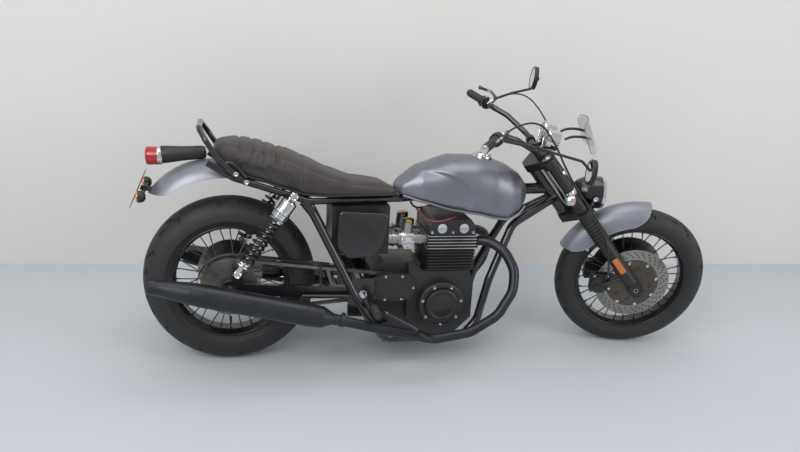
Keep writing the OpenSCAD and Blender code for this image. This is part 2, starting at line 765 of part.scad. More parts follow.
module throttle_bodies() {
    intake_x = block_x0 - fin_out - skin;
    color("#3a3d41") bike() for (side = both) {
        rod([airbox_x1 + skin, side * 54, intake_z], [intake_x, side * 54, intake_z], 26);
        rod([630, side * 54, intake_z], [690, side * 54, intake_z], 33);
        rod([662, side * 54, intake_z], [670, side * 54, intake_z + 76], 22);
    }
}

module airbox() {
    color("#151617") bike() {
        translate([372, -airbox_half, 436]) cube([airbox_x1 - 372, 2 * airbox_half, 186]);
        for (side = both) for (p = [[420, 590], [540, 580], [450, 470]])
            rod([p.x, side * (airbox_half - 2), p.y], [p.x, side * (cover_y - skin), p.y], 7);
    }
}

module exhaust(side) {
    bent(flip(pipe_run, side), pipe_r, 100);
    translate([muffler_front.x, side * muffler_y, muffler_front.y]) rotate([0, -90 + muffler_slope, 0])
        rotate_extrude() polygon(concat([[0, 0]],
            [for (s = muffler_steps) [s[1] * muffler_r, s[0] * muffler_l]], [[0, muffler_l]]));
    rod([hanger.x - 4, side * muffler_y, hanger.z - 20], [hanger.x, side * (hanger.y + 8 + skin), hanger.z], 6);
}

module exhaust_right() {
    color("#2b2e35") bike() exhaust(-1);
}

module exhaust_left() {
    color("#2b2e35") bike() exhaust(1);
}

module foot_controls_right() {
    color("#2a2b2e") bike() {
        rod([520, -plate_out, 268], [520, -300, 268], 12);
        bent([[520, -plate_out - 18, 268], [560, -262, 262], [650, -264, 212], [700, -264, 178]], 7, 24);
        translate([706, -272, 176]) rotate([0, 30, 0]) cube([60, 44, 12], center = true);
    }
}

module foot_controls_left() {
    color("#2a2b2e") bike() {
        rod([520, plate_out, 268], [520, 300, 268], 12);
        bent([[520, plate_out + 18, 268], [560, 262, 262], [650, 264, 236], [694, 264, 212]], 6, 24);
        rod([694, 262, 212], [694, 300, 212], 10);
    }
}

module chain() {
    color("#5c5f63") bike() translate([0, -sprocket_y, 0]) slab(-chain_w / 2, chain_w / 2) difference() {
        hull() {
            translate([0, rear_r]) circle(r = sprocket_r + chain_t);
            translate([drive_x, drive_z]) circle(r = drive_sprocket_r + chain_t);
        }
        hull() {
            translate([0, rear_r]) circle(r = sprocket_r + skin);
            translate([drive_x, drive_z]) circle(r = drive_sprocket_r + skin);
        }
    }
}

module chain_guard() {
    guard_r = sprocket_r + chain_t + 12;
    color("#161718") bike() {
        difference() {
            translate([0, -sprocket_y, rear_r]) across(guard_r + 3, -13, 13);
            translate([0, -sprocket_y, rear_r]) across(guard_r, -14, 14);
            translate([-200, -160, 100]) cube([400, 120, 240]);
            translate([40, -160, 100]) cube([400, 120, 500]);
        }
        translate([30, -sprocket_y - 13, rear_r + guard_r - 1]) rotate([0, 7, 0]) cube([338, 26, 4]);
        rod([330, -sprocket_y - 13.5, 404], [330, -arm_mid + 5, 331.2], 4.5);
    }
}

module tank() {
    color("#6f757e") bike() difference() {
        hull() for (side = both) for (b = tank_balls) translate([b[0], side * b[1] * tank_half, b[2]]) sphere(r = b[3], $fn = 32);
        translate([500, -tunnel_half, 500]) cube([700, 2 * tunnel_half, tunnel_top - 500]);
        translate([600, -200, 400]) cube([350, 400, tank_base - 400]);
    }
}

module seat() {
    color("#3b2b24") bike() difference() {
        intersection() {
            slab(-200, 200) polygon(seat_side);
            translate([0, 0, 600]) linear_extrude(height = 320) polygon(concat(
                [for (p = seat_plan) [p.x, p.y * seat_half]],
                [for (i = [len(seat_plan) - 1 : -1 : 0]) [seat_plan[i].x, -seat_plan[i].y * seat_half]]));
        }
        for (side = both) translate([shock_top.x - 22, side * 112 - 22, shock_top.y - 40]) cube([46, 44, 52]);
    }
}

module side_covers() {
    color("#1a1b1d") bike() for (side = both)
        slab(side * (cover_y + cover_t / 2) - cover_t / 2, side * (cover_y + cover_t / 2) + cover_t / 2) polygon(cover_outline);
}

module rear_fender() {
    color("#8a8f97") bike() difference() {
        translate([crown_centre.x, 0, crown_centre.y]) rotate([90, 0, 0]) rotate_extrude($fn = 180) difference() {
            translate([fender_r - fender_half, 0]) circle(r = fender_half);
            translate([fender_r - fender_half, 0]) circle(r = fender_half - sheet);
            translate([0, -fender_half * 2]) square([fender_r - fender_half, fender_half * 4]);
        }
        translate([arch_centre.x, 0, arch_centre.y]) across(arch_r, -120, 120);
        translate([-600, -200, fender_end_z - 800]) cube([1400, 400, 800]);
        slab(-120, 120) polygon([
            [-50, 780.5], [16, rail_top(2) - 1.5], [285, rail_top(1) - 1.5], [285, 1000], [-50, 1000]
        ]);
        rod(flip([fender_bolt], -1)[0], fender_bolt, 6 + skin);
    }
}

module grab_rail() {
    color("#17181a") bike() {
        bent([
            [60, -130.3, 716], [-40, -126, 804], [-78, -118, 864], [-100, -84, 900],
            [-100, 84, 900], [-78, 118, 864], [-40, 126, 804], [60, 130.3, 716]
        ], 10, 34);
    }
}

module tail_light() {
    color("#a01818") bike() {
        translate([-292, 0, 786]) rotate([0, 90, 0]) cylinder(r = tail_r, h = 64);
        difference() {
            rod([-240, 0, 786], [-72, 0, 802], 26);
            translate([crown_centre.x, 0, crown_centre.y]) across(fender_r + 2 * skin, -60, 60);
        }
    }
}

module plate_bracket() {
    color("#c9c9c6") bike() {
        translate([-322, 0, 668]) rotate([0, 24, 0]) cube([3, 150, 120], center = true);
        difference() {
            rod([-322, 0, 670], [-250, 0, 666], 9);
            translate([crown_centre.x, 0, crown_centre.y]) across(fender_r + 2 * skin, -60, 60);
        }
        for (side = both) {
            rod([-300, 0, 664], [-300, side * 120, 664], 7);
            rod([-318, side * 120, 664], [-284, side * 120, 664], 21);
        }
    }
}

module side_stand() {
    color("#1d1e20") bike() difference() {
        union() {
            rod(stand_pivot, stand_foot, stand_r);
            rod(stand_pivot - stand_axis * 10, stand_pivot + stand_axis * 10, stand_eye);
        }
        rod(stand_pivot - stand_axis * 16, stand_pivot + stand_axis * 16, stand_pin + run_fit);
    }
    color("#1d1e20") translate(foot_spot) {
        cylinder(r = foot_r, h = foot_t);
        cylinder(r = stand_r + 2, h = foot_t + stand_r);
    }
}

rear_tyre();
rear_wheel_rim();
rear_sprocket();
rear_disc();
front_tyre();
front_wheel_rim();
front_discs();
front_axle();
fork_legs();
gaiters();
fork_clamps();
front_fender();
calipers();
handlebar();
grips();
controls();
mirrors();
headlight();
gauges();
fly_screen();
front_indicators();
frame_tubes();
swingarm();
rear_axle();
shocks();
crankcase();
cylinders();
cam_cover();
engine_covers();
throttle_bodies();
airbox();
exhaust_right();
exhaust_left();
foot_controls_right();
foot_controls_left();
chain();
chain_guard();
tank();
seat();
side_covers();
rear_fender();
grab_rail();
tail_light();
plate_bracket();
side_stand();
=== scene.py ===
import math

import bmesh
import bpy
from mathutils import Matrix, Vector
from mathutils.bvhtree import BVHTree


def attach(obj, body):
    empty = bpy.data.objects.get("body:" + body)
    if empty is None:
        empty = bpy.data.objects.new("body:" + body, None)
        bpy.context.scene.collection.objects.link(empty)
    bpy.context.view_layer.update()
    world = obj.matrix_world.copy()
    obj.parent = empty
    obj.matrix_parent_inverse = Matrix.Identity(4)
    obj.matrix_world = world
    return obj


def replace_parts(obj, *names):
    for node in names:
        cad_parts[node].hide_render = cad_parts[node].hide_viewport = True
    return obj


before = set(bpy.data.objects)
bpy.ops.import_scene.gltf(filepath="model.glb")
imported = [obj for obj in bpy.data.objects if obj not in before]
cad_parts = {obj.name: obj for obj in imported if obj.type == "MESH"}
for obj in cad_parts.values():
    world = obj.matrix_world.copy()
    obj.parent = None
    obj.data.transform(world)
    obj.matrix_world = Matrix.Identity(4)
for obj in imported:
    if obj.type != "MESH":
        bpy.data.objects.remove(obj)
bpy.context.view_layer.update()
print("frame loaded:", len(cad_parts), "nodes")

# Places are in millimetres in the upright motorcycle: rear axle at x = 0, forward +x, left +y
stance = {
    "lean": 8, "pitch": -0.0458873, "rearTouch": (-0.257, 10.020, -0.701), "rake": 40, "steer": -15,
    "wheelbase": 1640, "forkOffset": 60, "rearRadius": 321, "frontRadius": 306, "forkHalf": 102,
}


def turnAbout(degrees, axis):
    return Matrix.Rotation(math.radians(degrees), 4, axis)


def shift(x, y, z):
    return Matrix.Translation((x, y, z))


rakeSin = math.sin(math.radians(stance["rake"]))
rakeCos = math.cos(math.radians(stance["rake"]))
bikeSpace = (
    Matrix.Scale(0.001, 4) @ shift(*[-v for v in stance["rearTouch"]])
    @ turnAbout(-stance["lean"], "X") @ turnAbout(stance["pitch"], "Y")
)
headSpace = bikeSpace @ shift(
    stance["wheelbase"] - stance["forkOffset"] * rakeCos, 0,
    stance["frontRadius"] - stance["forkOffset"] * rakeSin,
) @ turnAbout(-stance["rake"], "Y")
steerSpace = headSpace @ turnAbout(stance["steer"], "Z")
frontAxle = steerSpace @ shift(stance["forkOffset"], 0, 0)
rearAxle = bikeSpace @ shift(0, 0, stance["rearRadius"])
bothSides = (-1, 1)


# Small helpers for working the way one does by hand

def deselectAll():
    for obj in bpy.context.selected_objects:
        obj.select_set(False)


def pick(obj):
    deselectAll()
    obj.select_set(True)
    bpy.context.view_layer.objects.active = obj


def newest(name):
    obj = bpy.context.object
    obj.name = name
    obj.data.name = name
    return obj


def editMesh(obj):
    pick(obj)
    bpy.ops.object.mode_set(mode="EDIT")


def endEdit():
    bpy.ops.object.mode_set(mode="OBJECT")


def applyModifiers(obj):
    pick(obj)
    for modifier in list(obj.modifiers):
        bpy.ops.object.modifier_apply(modifier=modifier.name)


# place goes into the mesh, the object itself stays at the origin
def settle(obj, matrix):
    bpy.context.view_layer.update()
    obj.data.transform(matrix @ obj.matrix_world)
    obj.matrix_world = Matrix.Identity(4)
    return obj


def bevelled(obj, width, segments=2, angle=35):
    bevel = obj.modifiers.new("edges", "BEVEL")
    bevel.width = width
    bevel.segments = segments
    bevel.limit_method = "ANGLE"
    bevel.angle_limit = math.radians(angle)
    applyModifiers(obj)
    return obj


def subdivided(obj, levels=2):
    subdiv = obj.modifiers.new("smooth", "SUBSURF")
    subdiv.levels = levels
    subdiv.render_levels = levels
    applyModifiers(obj)
    return obj


def smoothShade(obj, angle=38):
    pick(obj)
    bpy.ops.object.shade_smooth_by_angle(angle=math.radians(angle))
    return obj


def joined(name, parts):
    deselectAll()
    for part in parts:
        part.select_set(True)
    bpy.context.view_layer.objects.active = parts[0]
    if len(parts) > 1:
        bpy.ops.object.join()
    return newest(name)


def copied(obj, matrix):
    other = obj.copy()
    other.data = obj.data.copy()
    other.data.transform(matrix)
    bpy.context.scene.collection.objects.link(other)
    return other


def removed(obj):
    bpy.data.objects.remove(obj)


def dressed(obj, material, body):
    obj.data.materials.clear()
    obj.data.materials.append(material)
    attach(obj, body)
    return obj


# matrix whose z axis runs from start to end, with its origin at start
def aimed(start, end):
    way = Vector(end) - Vector(start)
    return Matrix.Translation(start) @ way.to_track_quat("Z", "Y").to_matrix().to_4x4()


# Camera first, at the photograph's place: pixels are those of the 800 x 452 picture
cameraSetup = {
    "place": (0.002, -2.700, 1.720), "turn": 12.4, "down": 26.3, "roll": 4.7,
    "focalPixels": 790, "centreShift": (-14, 45), "picture": (800, 452), "wallLine": 264,
}


def cameraAxes():
    turn, down, roll = (math.radians(cameraSetup[key]) for key in ("turn", "down", "roll"))
    ahead = Vector((math.sin(turn) * math.cos(down), math.cos(turn) * math.cos(down), -math.sin(down)))
    level = Vector((math.cos(turn), -math.sin(turn), 0))
    above = level.cross(ahead)
    right = level * math.cos(roll) + above * math.sin(roll)
    return right, above * math.cos(roll) - level * math.sin(roll), ahead


def makeCamera():
    right, above, ahead = cameraAxes()
    wide = cameraSetup["picture"][0]
    data = bpy.data.cameras.new("photoCamera")
    data.sensor_fit = "HORIZONTAL"
    data.sensor_width = 36
    data.lens = cameraSetup["focalPixels"] * data.sensor_width / wide
    data.shift_x = -cameraSetup["centreShift"][0] / wide
    data.shift_y = cameraSetup["centreShift"][1] / wide
    camera = bpy.data.objects.new("photoCamera", data)
    bpy.context.scene.collection.objects.link(camera)
    camera.matrix_world = Matrix((
        (right.x, above.x, -ahead.x, cameraSetup["place"][0]),
        (right.y, above.y, -ahead.y, cameraSetup["place"][1]),
        (right.z, above.z, -ahead.z, cameraSetup["place"][2]),
        (0, 0, 0, 1),
    ))
    bpy.context.scene.camera = camera
    bpy.context.scene.view_settings.view_transform = "Standard"


# where the ray through a picture point meets the floor
def floorPoint(across, down):
    right, above, ahead = cameraAxes()
    middle = (
        cameraSetup["picture"][0] / 2 + cameraSetup["centreShift"][0],
        cameraSetup["picture"][1] / 2 + cameraSetup["centreShift"][1],
    )
    ray = (
        ahead + right * (across - middle[0]) / cameraSetup["focalPixels"]
        - above * (down - middle[1]) / cameraSetup["focalPixels"]
    )
    start = Vector(cameraSetup["place"])
    return start - ray * (start.z / ray.z)


makeCamera()
print("camera placed")


# Shader node groups: effects that several materials share
def newGroup(name, inputs, outputs):
    group = bpy.data.node_groups.new(name, "ShaderNodeTree")
    for label, value in inputs.items():
        socket = group.interface.new_socket(name=label, in_out="INPUT", socket_type="NodeSocketFloat")
        socket.default_value = value
    for label, kind in outputs.items():
        group.interface.new_socket(name=label, in_out="OUTPUT", socket_type=kind)
    return group, group.nodes.new("NodeGroupInput"), group.nodes.new("NodeGroupOutput")


# fine surface grain: a tone that varies slowly and a height that varies fast
def makeGrainGroup():
    group, given, result = newGroup(
        "surfaceGrain", {"Scale": 400.0, "Broad": 9.0},
        {"Tone": "NodeSocketFloat", "Height": "NodeSocketFloat"},
    )
    nodes, links = group.nodes, group.links
    place = nodes.new("ShaderNodeTexCoord")
    broad = nodes.new("ShaderNodeTexNoise")
    broad.inputs["Detail"].default_value = 5
    broad.inputs["Roughness"].default_value = 0.62
    fine = nodes.new("ShaderNodeTexNoise")
    fine.inputs["Detail"].default_value = 2
    links.new(place.outputs["Object"], broad.inputs["Vector"])
    links.new(place.outputs["Object"], fine.inputs["Vector"])
    links.new(given.outputs["Broad"], broad.inputs["Scale"])
    links.new(given.outputs["Scale"], fine.inputs["Scale"])
    spread = nodes.new("ShaderNodeMapRange")
    spread.inputs["From Min"].default_value = 0.3
    spread.inputs["From Max"].default_value = 0.7
    links.new(broad.outputs["Fac"], spread.inputs["Value"])
    links.new(spread.outputs["Result"], result.inputs["Tone"])
    links.new(fine.outputs["Fac"], result.inputs["Height"])
    return group


# road dust: patchy, most on faces that look up
def makeDustGroup():
    group, given, result = newGroup("roadDust", {"Amount": 0.3}, {"Mask": "NodeSocketFloat"})
    nodes, links = group.nodes, group.links
    place = nodes.new("ShaderNodeTexCoord")
    patch = nodes.new("ShaderNodeTexNoise")
    patch.inputs["Scale"].default_value = 14
    patch.inputs["Detail"].default_value = 6
    surface = nodes.new("ShaderNodeNewGeometry")
    upward = nodes.new("ShaderNodeSeparateXYZ")
    lift = nodes.new("ShaderNodeMapRange")
    lift.inputs["From Min"].default_value = -0.6
    lift.inputs["To Min"].default_value = 0.15
    product = nodes.new("ShaderNodeMath")
    product.operation = "MULTIPLY"
    amount = nodes.new("ShaderNodeMath")
    amount.operation = "MULTIPLY"
    amount.use_clamp = True
    links.new(place.outputs["Object"], patch.inputs["Vector"])
    links.new(surface.outputs["Normal"], upward.inputs["Vector"])
    links.new(upward.outputs["Z"], lift.inputs["Value"])
    links.new(patch.outputs["Fac"], product.inputs[0])
    links.new(lift.outputs["Result"], product.inputs[1])
    links.new(product.outputs["Value"], amount.inputs[0])
    links.new(given.outputs["Amount"], amount.inputs[1])
    links.new(amount.outputs["Value"], result.inputs["Mask"])
    return group


grainGroup = makeGrainGroup()
dustGroup = makeDustGroup()


def startMaterial(name, roughness, metallic=0.0, coat=0.0, sheen=0.0):
    material = bpy.data.materials.new(name)
    material.use_nodes = True
    nodes = material.node_tree.nodes
    shader = nodes["Principled BSDF"]
    shader.inputs["Roughness"].default_value = roughness
    shader.inputs["Metallic"].default_value = metallic
    shader.inputs["Coat Weight"].default_value = coat
    shader.inputs["Coat Roughness"].default_value = 0.12
    shader.inputs["Sheen Weight"].default_value = sheen
    return material, nodes, material.node_tree.links, shader


def groupNode(nodes, group, **values):
    node = nodes.new("ShaderNodeGroup")
    node.node_tree = group
    for label, value in values.items():
        node.inputs[label].default_value = value
    return node


# dark and light are colours or sockets
def mixColour(nodes, links, mask, dark, light):
    mix = nodes.new("ShaderNodeMix")
    mix.data_type = "RGBA"
    for socket, value in ((mix.inputs["A"], dark), (mix.inputs["B"], light)):
        if isinstance(value, bpy.types.NodeSocket):
            links.new(value, socket)
        else:
            socket.default_value = (*value, 1)
    links.new(mask, mix.inputs["Factor"])
    return mix.outputs["Result"]


def spread(nodes, links, value, low, high):
    reach = nodes.new("ShaderNodeMapRange")
    reach.inputs["To Min"].default_value = low
    reach.inputs["To Max"].default_value = high
    links.new(value, reach.inputs["Value"])
    return reach.outputs["Result"]


def bumped(nodes, links, height, strength, distance):
    bump = nodes.new("ShaderNodeBump")
    bump.inputs["Strength"].default_value = strength
    bump.inputs["Distance"].default_value = distance
    links.new(height, bump.inputs["Height"])
    return bump.outputs["Normal"]


dustColour = (0.17, 0.155, 0.135)


# a rigid finish: two tones of one colour, grain in gloss and bump, and road dust
def surface(name, look):
    material, nodes, links, shader = startMaterial(
        name, look["rough"], look.get("metal", 0), look.get("coat", 0), look.get("sheen", 0))
    grain = groupNode(nodes, grainGroup, Scale=look["grain"], Broad=look.get("broad", 9))
    dust = groupNode(nodes, dustGroup, Amount=look.get("dust", 0.2))
    tone = mixColour(nodes, links, grain.outputs["Tone"], look["dark"], look["light"])
    links.new(mixColour(nodes, links, dust.outputs["Mask"], tone, dustColour), shader.inputs["Base Color"])
    gloss = look.get("glossSpread", 0.08)
    links.new(
        spread(nodes, links, grain.outputs["Tone"], look["rough"] - gloss, look["rough"] + gloss),
        shader.inputs["Roughness"])
    links.new(bumped(nodes, links, grain.outputs["Height"], look["bump"], 0.0004), shader.inputs["Normal"])
    return material


surfaceLooks = {
    "frameBlack": {"dark": (0.004, 0.004, 0.005), "light": (0.009, 0.009, 0.01), "rough": 0.24, "grain": 700, "bump": 0.04, "coat": 0.5, "dust": 0.05},
    "forkBlack": {"dark": (0.006, 0.006, 0.007), "light": (0.013, 0.013, 0.014), "rough": 0.36, "grain": 900, "bump": 0.08, "dust": 0.08},
    "tankGraphite": {"dark": (0.175, 0.18, 0.21), "light": (0.225, 0.232, 0.268), "rough": 0.36, "grain": 1500, "bump": 0.03, "metal": 0.7, "dust": 0.03, "broad": 4},
    "fenderGrey": {"dark": (0.23, 0.24, 0.275), "light": (0.29, 0.3, 0.34), "rough": 0.42, "grain": 1500, "bump": 0.03, "metal": 0.5, "dust": 0.04, "broad": 4},
    "chromePlate": {"dark": (0.62, 0.62, 0.63), "light": (0.78, 0.78, 0.79), "rough": 0.1, "grain": 300, "bump": 0.02, "metal": 1, "dust": 0.06, "glossSpread": 0.04},
    "castAlloy": {"dark": (0.3, 0.3, 0.305), "light": (0.45, 0.45, 0.455), "rough": 0.36, "grain": 1100, "bump": 0.15, "metal": 0.9, "dust": 0.14},
    "engineBlack": {"dark": (0.006, 0.006, 0.007), "light": (0.014, 0.014, 0.015), "rough": 0.38, "grain": 1300, "bump": 0.2, "dust": 0.1},
    "exhaustDark": {"dark": (0.009, 0.011, 0.016), "light": (0.02, 0.023, 0.031), "rough": 0.34, "grain": 900, "bump": 0.05, "metal": 0.35, "dust": 0.07},
    "discSteel": {"dark": (0.2, 0.19, 0.18), "light": (0.34, 0.33, 0.31), "rough": 0.26, "grain": 500, "bump": 0.1, "metal": 1, "dust": 0.08},
    "axleSteel": {"dark": (0.34, 0.34, 0.35), "light": (0.52, 0.52, 0.53), "rough": 0.28, "grain": 600, "bump": 0.08, "metal": 1, "dust": 0.12},
    "chainSteel": {"dark": (0.11, 0.1, 0.09), "light": (0.26, 0.25, 0.23), "rough": 0.4, "grain": 500, "bump": 0.2, "metal": 0.9, "dust": 0.2},
    "carrierBrown": {"dark": (0.06, 0.05, 0.04), "light": (0.12, 0.1, 0.08), "rough": 0.42, "grain": 600, "bump": 0.1, "metal": 0.7, "dust": 0.1},
    "brassCap": {"dark": (0.3, 0.2, 0.09), "light": (0.5, 0.36, 0.17), "rough": 0.3, "grain": 500, "bump": 0.1, "metal": 1, "dust": 0.1},
    "blackPlastic": {"dark": (0.005, 0.005, 0.006), "light": (0.012, 0.012, 0.013), "rough": 0.4, "grain": 1200, "bump": 0.15, "dust": 0.08},
    "mouldedRubber": {"dark": (0.006, 0.006, 0.006), "light": (0.014, 0.014, 0.014), "rough": 0.58, "grain": 1300, "bump": 0.3, "sheen": 0.05, "dust": 0.1},
    "leadMaroon": {"dark": (0.1, 0.015, 0.02), "light": (0.17, 0.03, 0.035), "rough": 0.45, "grain": 900, "bump": 0.1, "dust": 0.1},
    "plateWhite": {"dark": (0.6, 0.6, 0.58), "light": (0.72, 0.72, 0.7), "rough": 0.42, "grain": 500, "bump": 0.05, "dust": 0.12},
    "wheelBlack": {"dark": (0.005, 0.005, 0.006), "light": (0.011, 0.011, 0.012), "rough": 0.26, "grain": 900, "bump": 0.05, "coat": 0.4, "dust": 0.06},
    "dialFace": {"dark": (0.02, 0.02, 0.022), "light": (0.035, 0.035, 0.037), "rough": 0.5, "grain": 800, "bump": 0.05, "dust": 0.02},
    "dialMark": {"dark": (0.6, 0.6, 0.58), "light": (0.7, 0.7, 0.68), "rough": 0.5, "grain": 800, "bump": 0.02, "dust": 0.02},
    "screenSmoke": {"dark": (0.014, 0.015, 0.018), "light": (0.022, 0.024, 0.028), "rough": 0.1, "grain": 400, "bump": 0.01, "coat": 0.5, "dust": 0.04},
    "threadLight": {"dark": (0.12, 0.08, 0.055), "light": (0.2, 0.14, 0.1), "rough": 0.75, "grain": 2500, "bump": 0.4, "dust": 0.05},
}
looks = {name: surface(name, look) for name, look in surfaceLooks.items()}


def makeTyreRubber():
    material, nodes, links, shader = startMaterial("tyreRubber", 0.62, sheen=0.03)
    grain = groupNode(nodes, grainGroup, Scale=900, Broad=22)
    dust = groupNode(nodes, dustGroup, Amount=0.35)
    tone = mixColour(nodes, links, grain.outputs["Tone"], (0.007, 0.007, 0.008), (0.015, 0.015, 0.016))
    links.new(mixColour(nodes, links, dust.outputs["Mask"], tone, (0.05, 0.047, 0.043)), shader.inputs["Base Color"])
    links.new(spread(nodes, links, grain.outputs["Tone"], 0.5, 0.7), shader.inputs["Roughness"])
    links.new(bumped(nodes, links, grain.outputs["Height"], 0.35, 0.0006), shader.inputs["Normal"])
    return material


# dark brown hide: cells of grain, creases, and paler wear that follows the crease noise
def makeLeather():
    material, nodes, links, shader = startMaterial("seatLeather", 0.46, sheen=0.04)
    place = nodes.new("ShaderNodeTexCoord")
    cells = nodes.new("ShaderNodeTexVoronoi")
    cells.feature = "DISTANCE_TO_EDGE"
    cells.inputs["Scale"].default_value = 520
    crease = nodes.new("ShaderNodeTexNoise")
    crease.inputs["Scale"].default_value = 60
    crease.inputs["Detail"].default_value = 7
    crease.inputs["Distortion"].default_value = 0.8
    links.new(place.outputs["Object"], cells.inputs["Vector"])
    links.new(place.outputs["Object"], crease.inputs["Vector"])
    grain = groupNode(nodes, grainGroup, Scale=1500, Broad=11)
    dust = groupNode(nodes, dustGroup, Amount=0.16)
    tone = mixColour(nodes, links, grain.outputs["Tone"], (0.011, 0.008, 0.0095), (0.024, 0.018, 0.02))
    worn = mixColour(nodes, links, crease.outputs["Fac"], tone, (0.04, 0.031, 0.033))
    fading = nodes.new("ShaderNodeMath")
    fading.operation = "MULTIPLY"
    fading.inputs[1].default_value = 0.5
    links.new(crease.outputs["Fac"], fading.inputs[0])
    links.new(fading.outputs["Value"], worn.node.inputs["Factor"])
    links.new(mixColour(nodes, links, dust.outputs["Mask"], worn, dustColour), shader.inputs["Base Color"])
    links.new(spread(nodes, links, crease.outputs["Fac"], 0.38, 0.62), shader.inputs["Roughness"])
    depth = nodes.new("ShaderNodeMath")
    depth.operation = "MULTIPLY_ADD"
    depth.inputs[1].default_value = 6
    links.new(cells.outputs["Distance"], depth.inputs[0])
    links.new(crease.outputs["Fac"], depth.inputs[2])
    links.new(bumped(nodes, links, depth.outputs["Value"], 0.3, 0.0007), shader.inputs["Normal"])
    return material


# moulded lens: ribs under a glossy skin
def makeLens(name, colour, rough=0.08):
    material, nodes, links, shader = startMaterial(name, rough, coat=0.6)
    place = nodes.new("ShaderNodeTexCoord")
    ribs = nodes.new("ShaderNodeTexWave")
    ribs.inputs["Scale"].default_value = 90
    ribs.inputs["Distortion"].default_value = 0.2
    links.new(place.outputs["Object"], ribs.inputs["Vector"])
    deep = tuple(channel * 0.55 for channel in colour)
    links.new(mixColour(nodes, links, ribs.outputs["Fac"], deep, colour), shader.inputs["Base Color"])
    links.new(bumped(nodes, links, ribs.outputs["Fac"], 0.25, 0.0008), shader.inputs["Normal"])
    shader.inputs["Transmission Weight"].default_value = 0.15
    return material


def makeGlass(name, tint):
    material, nodes, links, shader = startMaterial(name, 0.03)
    shader.inputs["Transmission Weight"].default_value = 0.92
    shader.inputs["IOR"].default_value = 1.35
    grain = groupNode(nodes, grainGroup, Scale=300, Broad=20)
    bright = tuple(min(1, channel * 1.04) for channel in tint)
    links.new(mixColour(nodes, links, grain.outputs["Tone"], tint, bright), shader.inputs["Base Color"])
    links.new(spread(nodes, links, grain.outputs["Tone"], 0.02, 0.06), shader.inputs["Roughness"])
    return material


looks["tyreRubber"] = makeTyreRubber()
looks["seatLeather"] = makeLeather()
looks["redLens"] = makeLens("redLens", (0.5, 0.012, 0.012))
looks["orangeLens"] = makeLens("orangeLens", (0.75, 0.2, 0.02))
looks["clearGlass"] = makeGlass("clearGlass", (0.93, 0.95, 0.95))
looks["screenClear"] = makeGlass("screenClear", (0.72, 0.74, 0.75))
looks["mirrorGlass"] = surface("mirrorGlass", {
    "dark": (0.72, 0.74, 0.75), "light": (0.8, 0.82, 0.83), "rough": 0.03, "grain": 200, "bump": 0.0, "metal": 1,
    "dust": 0.03, "glossSpread": 0.01,
})
print("materials built:", len(looks))


# Finishes of the solids that stay as they are
nodeLooks = {
    "rear_wheel_rim": "wheelBlack", "front_wheel_rim": "wheelBlack", "rear_sprocket": "chainSteel",
    "rear_disc": "discSteel", "front_discs": "discSteel", "front_axle": "axleSteel", "rear_axle": "axleSteel",
    "fork_legs": "forkBlack", "gaiters": "mouldedRubber", "fork_clamps": "forkBlack", "front_fender": "fenderGrey",
    "calipers": "forkBlack", "front_indicators": "chromePlate", "handlebar": "frameBlack", "grips": "mouldedRubber",
    "controls": "blackPlastic", "mirrors": "blackPlastic", "headlight": "frameBlack", "gauges": "chromePlate",
    "fly_screen": "screenSmoke", "frame_tubes": "frameBlack", "swingarm": "frameBlack", "shocks": "chromePlate",
    "crankcase": "engineBlack", "cylinders": "engineBlack", "cam_cover": "engineBlack", "engine_covers": "engineBlack",
    "throttle_bodies": "castAlloy", "airbox": "blackPlastic", "exhaust_right": "exhaustDark",
    "exhaust_left": "exhaustDark", "foot_controls_right": "frameBlack", "foot_controls_left": "frameBlack",
    "chain": "chainSteel", "chain_guard": "blackPlastic", "tank": "tankGraphite", "seat": "seatLeather",
    "side_covers": "blackPlastic", "rear_fender": "fenderGrey", "grab_rail": "frameBlack",
    "tail_light": "redLens", "plate_bracket": "plateWhite", "side_stand": "frameBlack", "rear_tyre": "tyreRubber",
    "front_tyre": "tyreRubber",
}


def finishSolids():
    for name, lookName in nodeLooks.items():
        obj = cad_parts[name]
        obj.data.materials.clear()
        obj.data.materials.append(looks[lookName])


finishSolids()
print("solids finished")


# Floor and wall: plain and pale, the wall meets the floor along the line in the photograph
stageLook = {"floor": (0.5, 0.53, 0.56), "wall": (0.7, 0.685, 0.66), "near": 4.5, "side": 5.0, "wallHeight": 3.2}


def stageMaterial(name, colour, seeThroughBack=False):
    material, nodes, links, shader = startMaterial(name, 0.85)
    grain = groupNode(nodes, grainGroup, Scale=60, Broad=1.5)
    dark = tuple(channel * 0.97 for channel in colour)
    links.new(mixColour(nodes, links, grain.outputs["Tone"], dark, colour), shader.inputs["Base Color"])
    if seeThroughBack:
        facing = nodes.new("ShaderNodeNewGeometry")
        clear = nodes.new("ShaderNodeBsdfTransparent")
        choice = nodes.new("ShaderNodeMixShader")
        links.new(facing.outputs["Backfacing"], choice.inputs["Fac"])
        links.new(shader.outputs["BSDF"], choice.inputs[1])
        links.new(clear.outputs["BSDF"], choice.inputs[2])
        links.new(choice.outputs["Shader"], nodes["Material Output"].inputs["Surface"])
    return material


